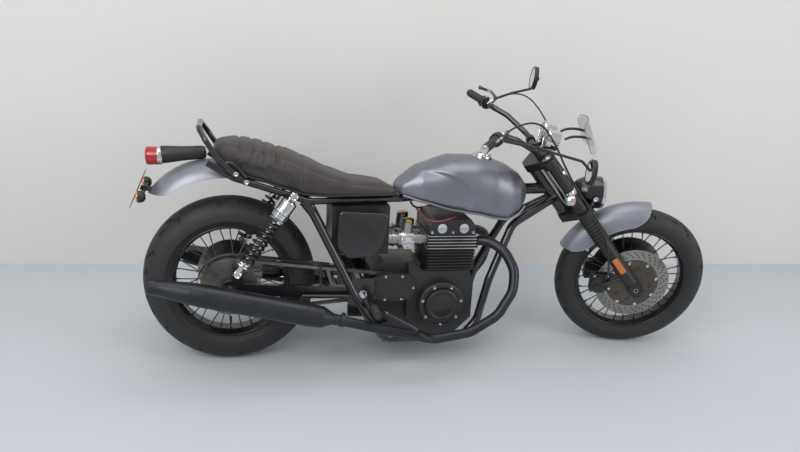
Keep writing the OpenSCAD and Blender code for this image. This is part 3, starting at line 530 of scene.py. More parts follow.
def makeStage():
    left = floorPoint(0, cameraSetup["wallLine"])
    right = floorPoint(cameraSetup["picture"][0], cameraSetup["wallLine"])
    along = (right - left).normalized()
    middle = (left + right) / 2
    back = Vector((-along.y, along.x, 0))
    turn = Matrix.Rotation(math.atan2(along.y, along.x), 4, "Z")
    deselectAll()
    bpy.ops.mesh.primitive_plane_add(size=1)
    floor = newest("floor")
    wide, deep = 2 * stageLook["side"], 2 * stageLook["near"]
    settle(floor, Matrix.Translation(middle - back * deep / 2) @ turn @ Matrix.Diagonal((wide, deep, 1, 1)))
    deselectAll()
    bpy.ops.mesh.primitive_plane_add(size=1, rotation=(math.radians(90), 0, 0))
    wall = newest("wall")
    tall = stageLook["wallHeight"]
    settle(wall, Matrix.Translation(middle + Vector((0, 0, tall / 2))) @ turn @ Matrix.Diagonal((wide, 1, tall, 1)))
    floor.data.materials.append(stageMaterial("floorPaint", stageLook["floor"]))
    wall.data.materials.append(stageMaterial("wallPaint", stageLook["wall"], seeThroughBack=True))


makeStage()
print("stage set")

# Soft studio light: a pale sky all round, one broad lamp over the camera's left, one low on the right
lamps = {
    "keyLamp": {"place": (-1.6, -2.6, 3.2), "aim": (0.8, 0, 0.4), "size": 2.4, "power": 95},
    "fillLamp": {"place": (3.6, -2.0, 1.8), "aim": (1.0, 0, 0.5), "size": 1.8, "power": 34},
    "topLamp": {"place": (0.8, 0.1, 3.4), "aim": (0.8, 0, 0.0), "size": 2.6, "power": 40},
}
skyLook = {"colour": (0.95, 0.97, 1.0), "strength": 0.55}


def makeLight():
    for name, lamp in lamps.items():
        data = bpy.data.lights.new(name, "AREA")
        data.shape = "SQUARE"
        data.size = lamp["size"]
        data.energy = lamp["power"]
        obj = bpy.data.objects.new(name, data)
        bpy.context.scene.collection.objects.link(obj)
        way = Vector(lamp["aim"]) - Vector(lamp["place"])
        obj.matrix_world = Matrix.Translation(lamp["place"]) @ way.to_track_quat("-Z", "Y").to_matrix().to_4x4()
    world = bpy.data.worlds.new("studioSky")
    bpy.context.scene.world = world
    world.use_nodes = True
    sky = world.node_tree.nodes["Background"]
    sky.inputs["Color"].default_value = (*skyLook["colour"], 1)
    sky.inputs["Strength"].default_value = skyLook["strength"]


makeLight()
print("lamps hung")


# General builders, all in millimetres of the space that the piece is placed with
def turned(name, profile, steps=48):
    # spins an outline of (radius, height) points about z
    mesh = bpy.data.meshes.new(name)
    mesh.from_pydata([(r, 0, h) for r, h in profile], [(i, i + 1) for i in range(len(profile) - 1)], [])
    obj = bpy.data.objects.new(name, mesh)
    bpy.context.scene.collection.objects.link(obj)
    editMesh(obj)
    bpy.ops.mesh.select_all(action="SELECT")
    bpy.ops.mesh.spin(steps=steps, angle=math.tau, center=(0, 0, 0), axis=(0, 0, 1))
    bpy.ops.mesh.select_all(action="SELECT")
    bpy.ops.mesh.remove_doubles(threshold=0.01)
    bpy.ops.mesh.normals_make_consistent(inside=False)
    endEdit()
    return obj


def tube(name, points, radius, smooth=True, sides=3, cyclic=False):
    # a round bar or hose along points, as a mesh
    curve = bpy.data.curves.new(name, "CURVE")
    curve.dimensions = "3D"
    curve.bevel_depth = radius
    curve.bevel_resolution = sides
    curve.use_fill_caps = True
    kind = "NURBS" if smooth else "POLY"
    spline = curve.splines.new(kind)
    spline.points.add(len(points) - 1)
    for knot, place in zip(spline.points, points):
        knot.co = (*place, 1)
    spline.use_cyclic_u = cyclic
    if smooth:
        spline.order_u = min(4, len(points))
        spline.use_endpoint_u = True
        spline.resolution_u = 8
    obj = bpy.data.objects.new(name, curve)
    bpy.context.scene.collection.objects.link(obj)
    pick(obj)
    bpy.ops.object.convert(target="MESH")
    return newest(name)


def block(name, size, place=(0, 0, 0), edge=0.0, segments=2):
    # a box with rounded edges
    deselectAll()
    bpy.ops.mesh.primitive_cube_add(size=1, location=place, scale=size)
    obj = newest(name)
    bpy.ops.object.transform_apply(location=True, rotation=True, scale=True)
    if edge:
        bevelled(obj, edge, segments)
    return obj


def disc(name, radius, height, place=(0, 0, 0), sides=32, edge=0.0, inset=0.0, dip=0.0):
    # a short round piece, its top face sunk or raised in a ring
    deselectAll()
    bpy.ops.mesh.primitive_cylinder_add(vertices=sides, radius=radius, depth=height, location=place)
    obj = newest(name)
    bpy.ops.object.transform_apply(location=True, rotation=True, scale=True)
    if inset:
        editMesh(obj)
        bpy.ops.mesh.select_all(action="DESELECT")
        work = bmesh.from_edit_mesh(obj.data)
        for face in work.faces:
            face.select = face.normal.z > 0.9
        bmesh.update_edit_mesh(obj.data)
        bpy.ops.mesh.inset(thickness=inset, depth=dip)
        endEdit()
    if edge:
        bevelled(obj, edge, 2)
    return obj


def boltHead(name="bolt", radius=5.0, height=4.0):
    # hex head with a washer face under it
    obj = disc(name, radius, height, (0, 0, height / 2 + 0.6), sides=6, edge=radius * 0.12, inset=radius * 0.35, dip=-height * 0.35)
    washer = disc("washer", radius * 1.25, 1.2, (0, 0, 0.6), sides=16)
    return joined(name, [obj, washer])


def scattered(name, base, places):
    # one object holding a copy of base at each place
    corners = [vertex.co.copy() for vertex in base.data.vertices]
    faces = [tuple(polygon.vertices) for polygon in base.data.polygons]
    points, sides = [], []
    for place in places:
        first = len(points)
        points += [place @ corner for corner in corners]
        sides += [tuple(first + index for index in face) for face in faces]
    mesh = bpy.data.meshes.new(name)
    mesh.from_pydata(points, [], sides)
    obj = bpy.data.objects.new(name, mesh)
    bpy.context.scene.collection.objects.link(obj)
    removed(base)
    return obj


def facing(place, normal):
    return aimed(place, Vector(place) + Vector(normal))


def between(low, high, share):
    return low + (high - low) * share


def alongTable(table, x):
    # straight interpolation between rows of (x, value, value, ...)
    if x <= table[0][0]:
        return table[0][1:]
    for a, b in zip(table, table[1:]):
        if x <= b[0]:
            share = (x - a[0]) / (b[0] - a[0])
            share = share * share * (3 - 2 * share) * 0.35 + share * 0.65
            return [between(p, q, share) for p, q in zip(a[1:], b[1:])]
    return table[-1][1:]


def bodyShape(name, stations, roundEnds, squareTop, squareLow, belly, rings=64, sides=96):
    # a ball stretched over stations of (x, top, bottom, half width)
    deselectAll()
    bpy.ops.mesh.primitive_uv_sphere_add(segments=sides, ring_count=rings, radius=1, rotation=(0, math.radians(90), 0))
    obj = newest(name)
    bpy.ops.object.transform_apply(location=True, rotation=True, scale=True)
    low, high = stations[0][0], stations[-1][0]
    for vertex in obj.data.vertices:
        along = max(-1.0, min(1.0, vertex.co.x))
        turn = math.atan2(vertex.co.z, vertex.co.y)
        ring = math.acos(-along) / math.pi
        x = between(low, high, ring)
        top, bottom, half = alongTable(stations, x)
        close = (1 - abs(2 * ring - 1) ** roundEnds) ** (1 / roundEnds)
        middle = between(bottom, top, belly)
        power = squareTop if turn >= 0 else squareLow
        y = half * close * math.copysign(abs(math.cos(turn)) ** (2 / power), math.cos(turn))
        rise = (top - middle) if turn >= 0 else (middle - bottom)
        z = middle + rise * close * math.copysign(abs(math.sin(turn)) ** (2 / power), math.sin(turn))
        vertex.co = (x, y, z)
    return obj


def smoothStep(low, high, value):
    share = max(0.0, min(1.0, (value - low) / (high - low)))
    return share * share * (3 - 2 * share)


# Tank: stations are (x, top, bottom, half width), with a knee hollow on each side
tank = {
    "stations": [
        (616, 694, 668, 56), (640, 720, 651, 82), (710, 765, 632, 106), (830, 803, 604, 127), (920, 803, 592, 131),
        (993, 792, 575, 130), (1045, 778, 567, 125), (1098, 754, 590, 110), (1128, 726, 622, 88), (1142, 694, 655, 62),
    ],
    "kneeCentre": (742, 652), "kneeSize": (152, 104), "kneeDepth": 11,
    "capPlace": (958, 0, 801), "capRadius": 34,
}


def kneeMask(x, z):
    reach = math.hypot((x - tank["kneeCentre"][0]) / tank["kneeSize"][0], (z - tank["kneeCentre"][1]) / tank["kneeSize"][1])
    return 1 - smoothStep(0.9, 1.06, reach)


def makeTank():
    shell = bodyShape("tankShell", tank["stations"], 5, 2.5, 5, 0.42, rings=96, sides=128)
    for vertex in shell.data.vertices:
        side = smoothStep(55, 95, abs(vertex.co.y))
        inward = tank["kneeDepth"] * kneeMask(vertex.co.x, vertex.co.z) * side
        vertex.co.y -= math.copysign(inward, vertex.co.y)
    smoothShade(settle(shell, bikeSpace), 60)
    dressed(shell, looks["tankGraphite"], "frame")
    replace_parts(shell, "tank")

    # welded seam lip along the lower edge, both sides
    for side in bothSides:
        run = []
        for x in range(640, 1121, 20):
            top, bottom, half = alongTable(tank["stations"], x)
            run.append((x, side * (half * 0.93 - 4 * kneeMask(x, bottom + 12)), bottom + 9))
        lip = tube("tankSeam", run, 4.2)
        smoothShade(settle(lip, bikeSpace), 60)
        dressed(lip, looks["tankGraphite"], "frame")

    # filler cap: knurled rim and domed lid
    r = tank["capRadius"]
    cap = turned("fillerCap", [(0, 15), (r * 0.5, 14), (r * 0.78, 11), (r * 0.86, 8), (r * 0.9, 9.5), (r, 9), (r + 1, 4), (r + 5, 2), (r + 7, -5), (0, -5)], 56)
    place = bikeSpace @ Matrix.Translation(tank["capPlace"]) @ turnAbout(4, "Y")
    smoothShade(settle(cap, place), 30)
    dressed(cap, looks["chromePlate"], "frame")
    knurl = block("knurl", (3, 2.2, 6), (r + 0.5, 0, 6), 0.5)
    ring = scattered("capKnurl", knurl, [turnAbout(a * 10, "Z") for a in range(36)])
    settle(ring, place)
    dressed(ring, looks["chromePlate"], "frame")


makeTank()
print("tank shaped")


# Tyres: half section with tread, spun round the axle and grooved
tyres = {
    "rear": {"radius": 321, "half": 72, "seat": 216, "bead": 56, "space": rearAxle, "body": "rear_wheel", "node": "rear_tyre", "steps": 132, "period": 11},
    "front": {"radius": 306, "half": 52, "seat": 224, "bead": 40, "space": frontAxle, "body": "front_wheel", "node": "front_tyre", "steps": 132, "period": 12},
}


def tyreProfile(tyre):
    radius, half, seat, bead = tyre["radius"], tyre["half"], tyre["seat"], tyre["bead"]
    crown = radius - half
    outline = [(seat, -bead + 3), (seat + 3, -bead - 2), (seat + 9, -bead - 4)]
    low = -math.degrees(math.acos((seat + 24 - crown) / half)) if abs(seat + 24 - crown) < half else -150
    sweep = [low, low * 0.86, low * 0.74]
    tread = [-68 + i * 136 / 14 for i in range(15)]
    angles = sorted(sweep + tread + [-a for a in sweep])
    outline += [(crown + half * math.cos(math.radians(a)), half * math.sin(math.radians(a))) for a in angles]
    outline += [(seat + 9, bead + 4), (seat + 3, bead + 2), (seat, bead - 3)]
    return outline, tread


def makeTyre(label, tyre):
    outline, tread = tyreProfile(tyre)
    obj = turned(label + "Tyre", outline, tyre["steps"])
    crown = tyre["radius"] - tyre["half"]
    editMesh(obj)
    bpy.ops.mesh.select_all(action="DESELECT")
    work = bmesh.from_edit_mesh(obj.data)
    for face in work.faces:
        centre = face.calc_center_median()
        lift = math.degrees(math.atan2(centre.z, math.hypot(centre.x, centre.y) - crown))
        if abs(lift) > 66:
            continue
        row = int((lift + 68) / (136 / 14))
        column = int(round((math.degrees(math.atan2(centre.y, centre.x)) % 360) / 360 * tyre["steps"] - 0.5))
        lean = abs(row - 6.5) * 0.9
        wave = (column + int(lean) + (5 if row > 6 else 0)) % tyre["period"]
        face.select = (wave == 0 and 1 <= row <= 5) or (wave == 0 and 8 <= row <= 12) or (wave in (4, 5) and row in (3, 10))
    bmesh.update_edit_mesh(obj.data)
    bpy.ops.mesh.inset(thickness=1.6, depth=-4.5, use_even_offset=True)
    endEdit()
    bead = [(tyre["seat"] + 16, s * (tyre["bead"] + 6.5)) for s in bothSides]
    rings = []
    for radius, height in bead:
        deselectAll()
        bpy.ops.mesh.primitive_torus_add(major_radius=radius, minor_radius=1.8, major_segments=96, minor_segments=8, location=(0, 0, height))
        rings.append(newest("beadLine"))
        bpy.ops.object.transform_apply(location=True, rotation=True, scale=True)
    obj = joined(label + "Tyre", [obj] + rings)
    smoothShade(settle(obj, tyre["space"] @ turnAbout(90, "X")), 32)
    dressed(obj, looks["tyreRubber"], tyre["body"])
    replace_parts(obj, tyre["node"])


for label, tyre in tyres.items():
    makeTyre(label, tyre)
print("tyres grooved")


# Wheel trim: nipples, valve, disc drillings and carrier windows as black dots of painted shade, and carrier bolts
wheelTrim = {
    "front": {"space": frontAxle, "body": "front_wheel", "rim": 212, "spokes": 32, "discs": [(-65, -1), (65, 1)], "discRadius": 150, "lip": 224, "half": 38},
    "rear": {"space": rearAxle, "body": "rear_wheel", "rim": 204, "spokes": 32, "discs": [(93, 1)], "discRadius": 125, "lip": 216, "half": 52},
}


def makeWheelTrim(label, trim):
    nipple = turned("nipple", [(0, 0), (3.6, 0), (3.6, 9), (2.8, 15), (0, 15)], 8)
    places = []
    for i in range(trim["spokes"]):
        turn = math.radians(i * 360 / trim["spokes"])
        outward = Vector((math.cos(turn), 0, math.sin(turn)))
        places.append(aimed(outward * trim["rim"] + Vector((0, 5 * (1 if i % 2 else -1), 0)), outward * (trim["rim"] - 20)))
    nipples = scattered(label + "Nipples", nipple, places)
    settle(nipples, trim["space"])
    dressed(nipples, looks["axleSteel"], trim["body"])

    lips = []
    for side in bothSides:
        deselectAll()
        bpy.ops.mesh.primitive_torus_add(
            major_radius=trim["lip"] - 2, minor_radius=3.4, major_segments=96, minor_segments=10,
            location=(0, side * (trim["half"] + 1.5), 0), rotation=(math.radians(90), 0, 0))
        lips.append(newest("rimLip"))
        bpy.ops.object.transform_apply(location=True, rotation=True, scale=True)
    lip = joined(label + "RimLip", lips)
    smoothShade(settle(lip, trim["space"]), 60)
    dressed(lip, looks["wheelBlack"], trim["body"])

    valve = tube(label + "Valve", [(0, 6, -trim["rim"] + 8), (0, 10, -trim["rim"] + 22), (0, 16, -trim["rim"] + 40)], 3.2)
    settle(valve, trim["space"])
    dressed(valve, looks["mouldedRubber"], trim["body"])

    for face, side in trim["discs"]:
        radius = trim["discRadius"]
        # the disc drillings are flat black dots laid on the disc face: painted shade in place of real holes
        hole = disc("hole", 3.4, 0.5, sides=10)
        places = []
        for ring in range(3):
            for i in range(30):
                turn = math.radians(i * 12 + ring * 4)
                reach = radius * (0.8 + ring * 0.065)
                places.append(facing((reach * math.cos(turn), face + side * 0.15, reach * math.sin(turn)), (0, side, 0)))
        holes = scattered(label + "DrillingShade", hole, places)
        settle(holes, trim["space"])
        dressed(holes, looks["frameBlack"], trim["body"])
        carrier = turned(label + "Carrier", [(24, 0), (radius * 0.66, 0), (radius * 0.7, 2), (radius * 0.7, 3.2), (radius * 0.6, 5), (radius * 0.34, 6), (30, 9), (24, 9), (24, 0)], 60)
        settle(carrier, facing((0, face, 0), (0, side, 0)))
        # the carrier windows are flat black discs on the carrier face: painted shade in place of real openings
        holeCut = turned("windowShadeDisc", [(0, 0), (9, 0), (9, 0.7), (0, 0.7)], 16)
        windowShades = scattered("carrierWindowShade", holeCut, [
            facing((radius * 0.48 * math.cos(a * math.tau / 8), face + side * 5.1, radius * 0.48 * math.sin(a * math.tau / 8)), (0, side, 0))
            for a in range(8)])
        smoothShade(settle(carrier, trim["space"]), 30)
        dressed(carrier, looks["carrierBrown"], trim["body"])
        settle(windowShades, trim["space"])
        dressed(windowShades, looks["frameBlack"], trim["body"])
        bolts = scattered(label + "DiscBolts", boltHead("discBolt", 6, 5), [
            facing((radius * 0.64 * math.cos((a + 0.5) * math.tau / 8), face + side * 3, radius * 0.64 * math.sin((a + 0.5) * math.tau / 8)), (0, side, 0))
            for a in range(8)])
        settle(bolts, trim["space"])
        dressed(bolts, looks["chromePlate"], trim["body"])


for label, trim in wheelTrim.items():
    makeWheelTrim(label, trim)
print("wheels trimmed")


# Rear shocks: chrome can, black coil spring, chrome collars and eyes
shock = {"low": (24, 392), "top": (223, 676), "side": 166, "wire": 5.2, "coil": 24, "turns": 9.5, "eye": 15}


def makeShock(side):
    low = Vector((shock["low"][0], side * shock["side"], shock["low"][1]))
    top = Vector((shock["top"][0], side * shock["side"], shock["top"][1]))
    length = (top - low).length
    space = bikeSpace @ aimed(low, top)
    label = "Right" if side < 0 else "Left"
    can = turned("shockCan" + label, [
        (0, length - 14), (16, length - 14), (26, length - 20), (29, length - 26), (29.5, length - 62), (31, length - 64),
        (31, length - 70), (29, length - 73), (29, length - 92), (26, length - 96), (0, length - 96)], 48)
    collars = [turned("collar", [(0, z), (r, z), (r + 1.5, z + 2), (r + 1.5, z + h - 2), (r, z + h), (0, z + h)], 40) for z, r, h in ((34, 27, 7), (44, 25, 6), (length - 110, 26, 8))]
    shaft = turned("shaft", [(0, 8), (12, 8), (12, 34), (8.5, 36), (8.5, length - 96), (0, length - 96)], 28)
    eyes = []
    for z in (0, length):
        eye = turned("eye", [(8.5, -13), (14, -13), (15, -11), (15, 11), (14, 13), (8.5, 13), (8.5, -13)], 32)
        eyes.append(settle(eye, Matrix.Translation((0, 0, z)) @ turnAbout(90, "X")))
    chrome = joined("shockChrome" + label, [can, shaft] + collars + eyes)
    smoothShade(settle(chrome, space), 32)
    dressed(chrome, looks["chromePlate"], "frame")
    first, last = 52, length - 104
    count = int(shock["turns"] * 20)
    coil = []
    for i in range(count + 1):
        share = i / count
        ease = share if 0.06 < share < 0.94 else (0.06 * (share / 0.06) ** 1.4 if share < 0.5 else 1 - 0.06 * ((1 - share) / 0.06) ** 1.4)
        turn = share * shock["turns"] * math.tau
        coil.append((shock["coil"] * math.cos(turn), shock["coil"] * math.sin(turn), between(first, last, ease)))
    spring = tube("shockSpring" + label, coil, shock["wire"], smooth=False, sides=3)
    smoothShade(settle(spring, space), 60)
    dressed(spring, looks["forkBlack"], "frame")
    nuts = scattered("shockNuts" + label, boltHead("nut", 9, 7), [
        facing((x, side * (shock["side"] + 21), z), (0, side, 0)) for x, z in (shock["low"], shock["top"])])
    settle(nuts, bikeSpace)
    dressed(nuts, looks["chromePlate"], "frame")
    return chrome


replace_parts(makeShock(-1), "shocks")
makeShock(1)
print("shocks coiled")


# Seat: stations are (x, top, bottom, half width); channels and the strap band lie across it
seat = {
    "stations": [
        (-60, 842, 778, 88), (-40, 857, 778, 102), (20, 856, 748, 114), (88, 842, 727, 120), (194, 812, 692, 122),
        (273, 781, 667, 120), (360, 741, 661, 113), (450, 711, 660, 101), (560, 700, 659, 86), (630, 684, 658, 62),
    ],
    "voxel": 0.0055, "cap": 0.006, "pressure": 4, "frames": 20,
    "channels": (40, 84, 128, 172), "channelWidth": 6, "channelDepth": 6,
    "band": (200, 262), "bandLift": 1.6, "seamShare": 0.86, "stitchStep": 6.5,
}


def puffed(obj):
    # the piece is remeshed and blown up by Cloth, the cloth is applied, and each point's way is capped
    pick(obj)
    remesh = obj.modifiers.new("even", "REMESH")
    remesh.mode = "VOXEL"
    remesh.voxel_size = seat["voxel"]
    applyModifiers(obj)
    rest = [vertex.co.copy() for vertex in obj.data.vertices]
    cloth = obj.modifiers.new("puff", "CLOTH")
    cloth.settings.quality = 5
    cloth.settings.mass = 0.3
    cloth.settings.tension_stiffness = 18
    cloth.settings.use_pressure = True
    cloth.settings.uniform_pressure_force = seat["pressure"]
    cloth.settings.effector_weights.gravity = 0
    cloth.point_cache.frame_start = 1
    cloth.point_cache.frame_end = seat["frames"]
    for step in range(1, seat["frames"] + 1):
        bpy.context.scene.frame_set(step)
    applyModifiers(obj)
    for vertex, before in zip(obj.data.vertices, rest):
        way = vertex.co - before
        if way.length > seat["cap"]:
            vertex.co = before + way.normalized() * seat["cap"]
    bpy.context.scene.frame_set(1)
    return obj


def seatGroove(place):
    # how far a point of the cover lies in along its normal, in millimetres
    x, y, z = place
    top, bottom, half = alongTable(seat["stations"], x)
    height = (z - bottom) / (top - bottom)
    across = abs(y) / half
    depth = 0.0
    upper = smoothStep(0.45, 0.62, height)
    for middle in seat["channels"]:
        depth += seat["channelDepth"] * math.exp(-((x - middle) / seat["channelWidth"]) ** 2) * upper * (1 - smoothStep(0.9, 1.0, across))
    for edge in seat["band"]:
        depth += 2.4 * math.exp(-((x - edge) / 3.5) ** 2) * smoothStep(0.1, 0.2, height)
    inside = smoothStep(seat["band"][0] + 1, seat["band"][0] + 6, x) * (1 - smoothStep(seat["band"][1] - 6, seat["band"][1] - 1, x))
    depth -= seat["bandLift"] * inside * smoothStep(0.1, 0.2, height)
    seam = math.exp(-((height - seat["seamShare"]) * (top - bottom) / 3.6) ** 2) * smoothStep(0.72, 0.8, across)
    return depth + 2.6 * seam


def stitchRow(name, skin, path):
    # small thread beads laid on the cover's skin along a path, in metres
    bead = turned(name, [(0, -2.1), (0.55, -1.7), (0.75, 0), (0.55, 1.7), (0, 2.1)], 6)
    bead.data.transform(Matrix.Scale(0.001, 4))
    places = []
    rest = 0.0
    step = seat["stitchStep"] / 1000
    for a, b in zip(path, path[1:]):
        length = (b - a).length
        while rest < length:
            point = a.lerp(b, rest / length)
            on, normal, index, gap = skin.find_nearest(point)
            if on:
                way = (b - a).normalized()
                way = (way - normal * way.dot(normal)).normalized()
                side = normal.cross(way)
                place = on + normal * 0.0002
                places.append(Matrix((
                    (side.x, normal.x, way.x, place.x), (side.y, normal.y, way.y, place.y),
                    (side.z, normal.z, way.z, place.z), (0, 0, 0, 1))))
            rest += step
        rest -= length
    return scattered(name, bead, places)


def bikePath(points):
    return [bikeSpace @ Vector(point) for point in points]


def makeSeat():
    cushion = bodyShape("seatCushion", seat["stations"], 7, 3.6, 9, 0.3, rings=72, sides=96)
    settle(cushion, bikeSpace)
    puffed(cushion)
    subdivided(cushion, 1)
    back = bikeSpace.inverted()
    normals = [vertex.normal.copy() for vertex in cushion.data.vertices]
    for vertex, normal in zip(cushion.data.vertices, normals):
        vertex.co -= normal * seatGroove(back @ vertex.co) * 0.001
    smoothShade(cushion, 60)
    dressed(cushion, looks["seatLeather"], "frame")
    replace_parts(cushion, "seat")

    skin = BVHTree.FromPolygons(
        [vertex.co.copy() for vertex in cushion.data.vertices], [tuple(polygon.vertices) for polygon in cushion.data.polygons])
    rows = []
    for side in bothSides:
        for share in (seat["seamShare"] - 0.055, seat["seamShare"] + 0.055):
            run = []
            for x in range(-44, 625, 12):
                top, bottom, half = alongTable(seat["stations"], x)
                run.append((x, side * half * 0.93, between(bottom, top, share)))
            rows.append(stitchRow("sideStitches", skin, bikePath(run)))
    for edge, offset in ((seat["band"][0], 7), (seat["band"][1], -7), (seat["band"][0], -7), (seat["band"][1], 7)):
        x = edge + offset
        top, bottom, half = alongTable(seat["stations"], x)
        run = [(x, half * 1.02 * math.cos(math.radians(a)), between(bottom, top, 0.32) + (top - between(bottom, top, 0.32)) * math.sin(math.radians(a))) for a in range(-10, 191, 8)]
        rows.append(stitchRow("bandStitches", skin, bikePath(run)))
    for middle in seat["channels"]:
        for offset in (-3.4, 3.4):
            x = middle + offset
            top, bottom, half = alongTable(seat["stations"], x)
            run = [(x, half * 0.86 * share / 10, top) for share in range(-10, 11)]
            rows.append(stitchRow("quiltStitches", skin, bikePath(run)))
    threads = joined("seatStitches", rows)
    dressed(threads, looks["threadLight"], "frame")

    # black base pan under the cushion
    for side in bothSides:
        run = []
        for x in range(-40, 621, 30):
            top, bottom, half = alongTable(seat["stations"], x)
            run.append((x, side * (half - 8), bottom + 3))
        pan = tube("seatPanEdge", run, 4)
        smoothShade(settle(pan, bikeSpace), 60)
        dressed(pan, looks["blackPlastic"], "frame")


makeSeat()
print("seat padded and stitched")


# Front fender: a band round the tyre with rounded ends, a rolled edge and a black stay
frontFender = {"from": 46, "to": 117, "crown": 272, "wide": 59.5, "skirt": 24, "endRound": 16, "sheet": 2.4, "stayAngle": 88}


def fenderPoint(angle, section, lift=0.0):
    # section runs from -1 to 1 over the skirt, crown and skirt of one side to the other
    crown, wide, skirt = frontFender["crown"], frontFender["wide"] + lift, frontFender["skirt"]
    low, high = frontFender["from"], frontFender["to"]
    arc = math.pi * wide / 2
    half = arc + skirt
    gap = min(angle - low, high - angle)
    share = max(0.0, 1 - gap / frontFender["endRound"])
    limit = math.sqrt(max(0.0, 1 - share * share)) * 0.78 + 0.22
    reach = section * half * limit
    if abs(reach) <= arc:
        turn = reach / wide
        radius, y = crown + wide * math.cos(turn), wide * math.sin(turn)
    else:
        radius, y = crown - (abs(reach) - arc), math.copysign(wide, reach)
    turn = math.radians(angle)
    return (radius * math.cos(turn), y, radius * math.sin(turn))


def makeFrontFender():
    deselectAll()
    bpy.ops.mesh.primitive_grid_add(x_subdivisions=56, y_subdivisions=36, size=2)
    band = newest("frontFenderSheet")
    low, high = frontFender["from"], frontFender["to"]
    for vertex in band.data.vertices:
        ease = math.sin(vertex.co.x * math.pi / 2) * 0.5 + vertex.co.x * 0.5
        vertex.co = fenderPoint(between(low, high, (ease + 1) / 2), vertex.co.y)
    editMesh(band)
    bpy.ops.mesh.select_all(action="SELECT")
    bpy.ops.mesh.remove_doubles(threshold=0.01)
    bpy.ops.mesh.normals_make_consistent(inside=False)
    endEdit()
    wall = band.modifiers.new("wall", "SOLIDIFY")
    wall.thickness = frontFender["sheet"]
    wall.offset = 0
    applyModifiers(band)
    bevelled(band, 0.7, 2, 50)
    edge = [fenderPoint(low + (high - low) * i / 40, -1) for i in range(41)]
    edge += [fenderPoint(high, -1 + i / 8) for i in range(1, 17)]
    edge += [fenderPoint(high - (high - low) * i / 40, 1) for i in range(1, 41)]
    edge += [fenderPoint(low, 1 - i / 8) for i in range(1, 16)]
    roll = tube("fenderRoll", edge, 2.6, smooth=False, cyclic=True)
    band = joined("frontFenderSheet", [band, roll])
    smoothShade(settle(band, frontAxle), 40)
    dressed(band, looks["fenderGrey"], "steering")
    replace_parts(band, "front_fender")

    # black steel stay over the crown and down to both fork legs, with its bolts
    stay = [fenderPoint(frontFender["stayAngle"], i / 12, 2.6) for i in range(-12, 13)]
    strap = []
    for offset in (-5, -2.5, 0, 2.5, 5):
        turn = turnAbout(-offset / 3.4, "Y")
        strap.append(tube("stayStrand", [turn @ Vector(point) for point in stay], 2.5, smooth=False))
    for side in bothSides:
        strap.append(tube("stayLeg", [(0, side * 60, 252), (2, side * 68, 250), (0, side * 76, 246)], 9))
        strap.append(tube("lowStay", [(-60, side * 61, 236), (-34, side * 66, 238), (-6, side * 77, 238)], 4.5))
    strap = joined("fenderStay", strap)
    smoothShade(settle(strap, frontAxle), 45)
    dressed(strap, looks["forkBlack"], "steering")
    bolts = scattered("fenderBolts", boltHead("fenderBolt", 4.5, 4), [
        facing((x, side * 61, z), (0, side, 0)) for side in bothSides for x, z in ((14, 262), (-18, 264), (-72, 238))])
    settle(bolts, frontAxle)
    dressed(bolts, looks["chromePlate"], "steering")


makeFrontFender()
print("front fender shaped")


# Headlight: open bucket, bright rim, bowl, bulb cover and glass; its own z axis looks ahead
headlight = {"place": (114, 0, 430), "radius": 64}
lampSpace = steerSpace @ Matrix.Translation(headlight["place"]) @ turnAbout(stance["rake"] + 90, "Y")


def makeHeadlight():
    r = headlight["radius"]
    bucket = turned("headlightBucket", [
        (0, -72), (26, -66), (46, -48), (58, -24), (r, 4), (r, 46), (r - 3, 47), (r - 3, 4), (r - 7, -20), (0, -60)], 72)
    smoothShade(settle(bucket, lampSpace), 32)
    dressed(bucket, looks["frameBlack"], "steering")
    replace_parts(bucket, "headlight")
    rim = turned("headlightRim", [(r - 8, 58), (r - 5, 59.5), (r - 1, 57), (r - 0.2, 52), (r - 0.2, 45), (r - 3, 44), (r - 6, 50), (r - 8, 58)], 72)
    smoothShade(settle(rim, lampSpace), 40)
    dressed(rim, looks["chromePlate"], "steering")
    bowl = turned("headlightBowl", [(10, -18), (24, -8), (42, 14), (r - 8, 42), (r - 7, 43), (r - 7, 40), (43, 11), (25, -12), (10, -21), (10, -18)], 64)
    bulb = turned("bulbCover", [(0, 26), (9, 22), (12, 14), (12, 0), (5, -16), (0, -16)], 32)
    bowl = joined("headlightBowl", [bowl, bulb])
    smoothShade(settle(bowl, lampSpace), 40)
    dressed(bowl, looks["mirrorGlass"], "steering")
    glass = turned("headlightGlass", [(0, 59.5), (20, 58.6), (40, 56), (r - 9, 52), (r - 7, 49), (r - 9, 48), (40, 52), (20, 54.6), (0, 55.5)], 64)
    smoothShade(settle(glass, lampSpace), 40)
    dressed(glass, looks["clearGlass"], "steering")
    screws = scattered("headlightScrews", boltHead("lampScrew", 8, 5), [
        facing((headlight["place"][0] + 12, side * 77, headlight["place"][2] - 10), (0, side, 0)) for side in bothSides])
    settle(screws, steerSpace)
    dressed(screws, looks["chromePlate"], "steering")


makeHeadlight()

# Gauges: bright rims, dark dials with marks and needles, glass
gauge = {"place": (112, 48, 716), "radius": 38, "tilt": stance["rake"] - 78, "top": 22}


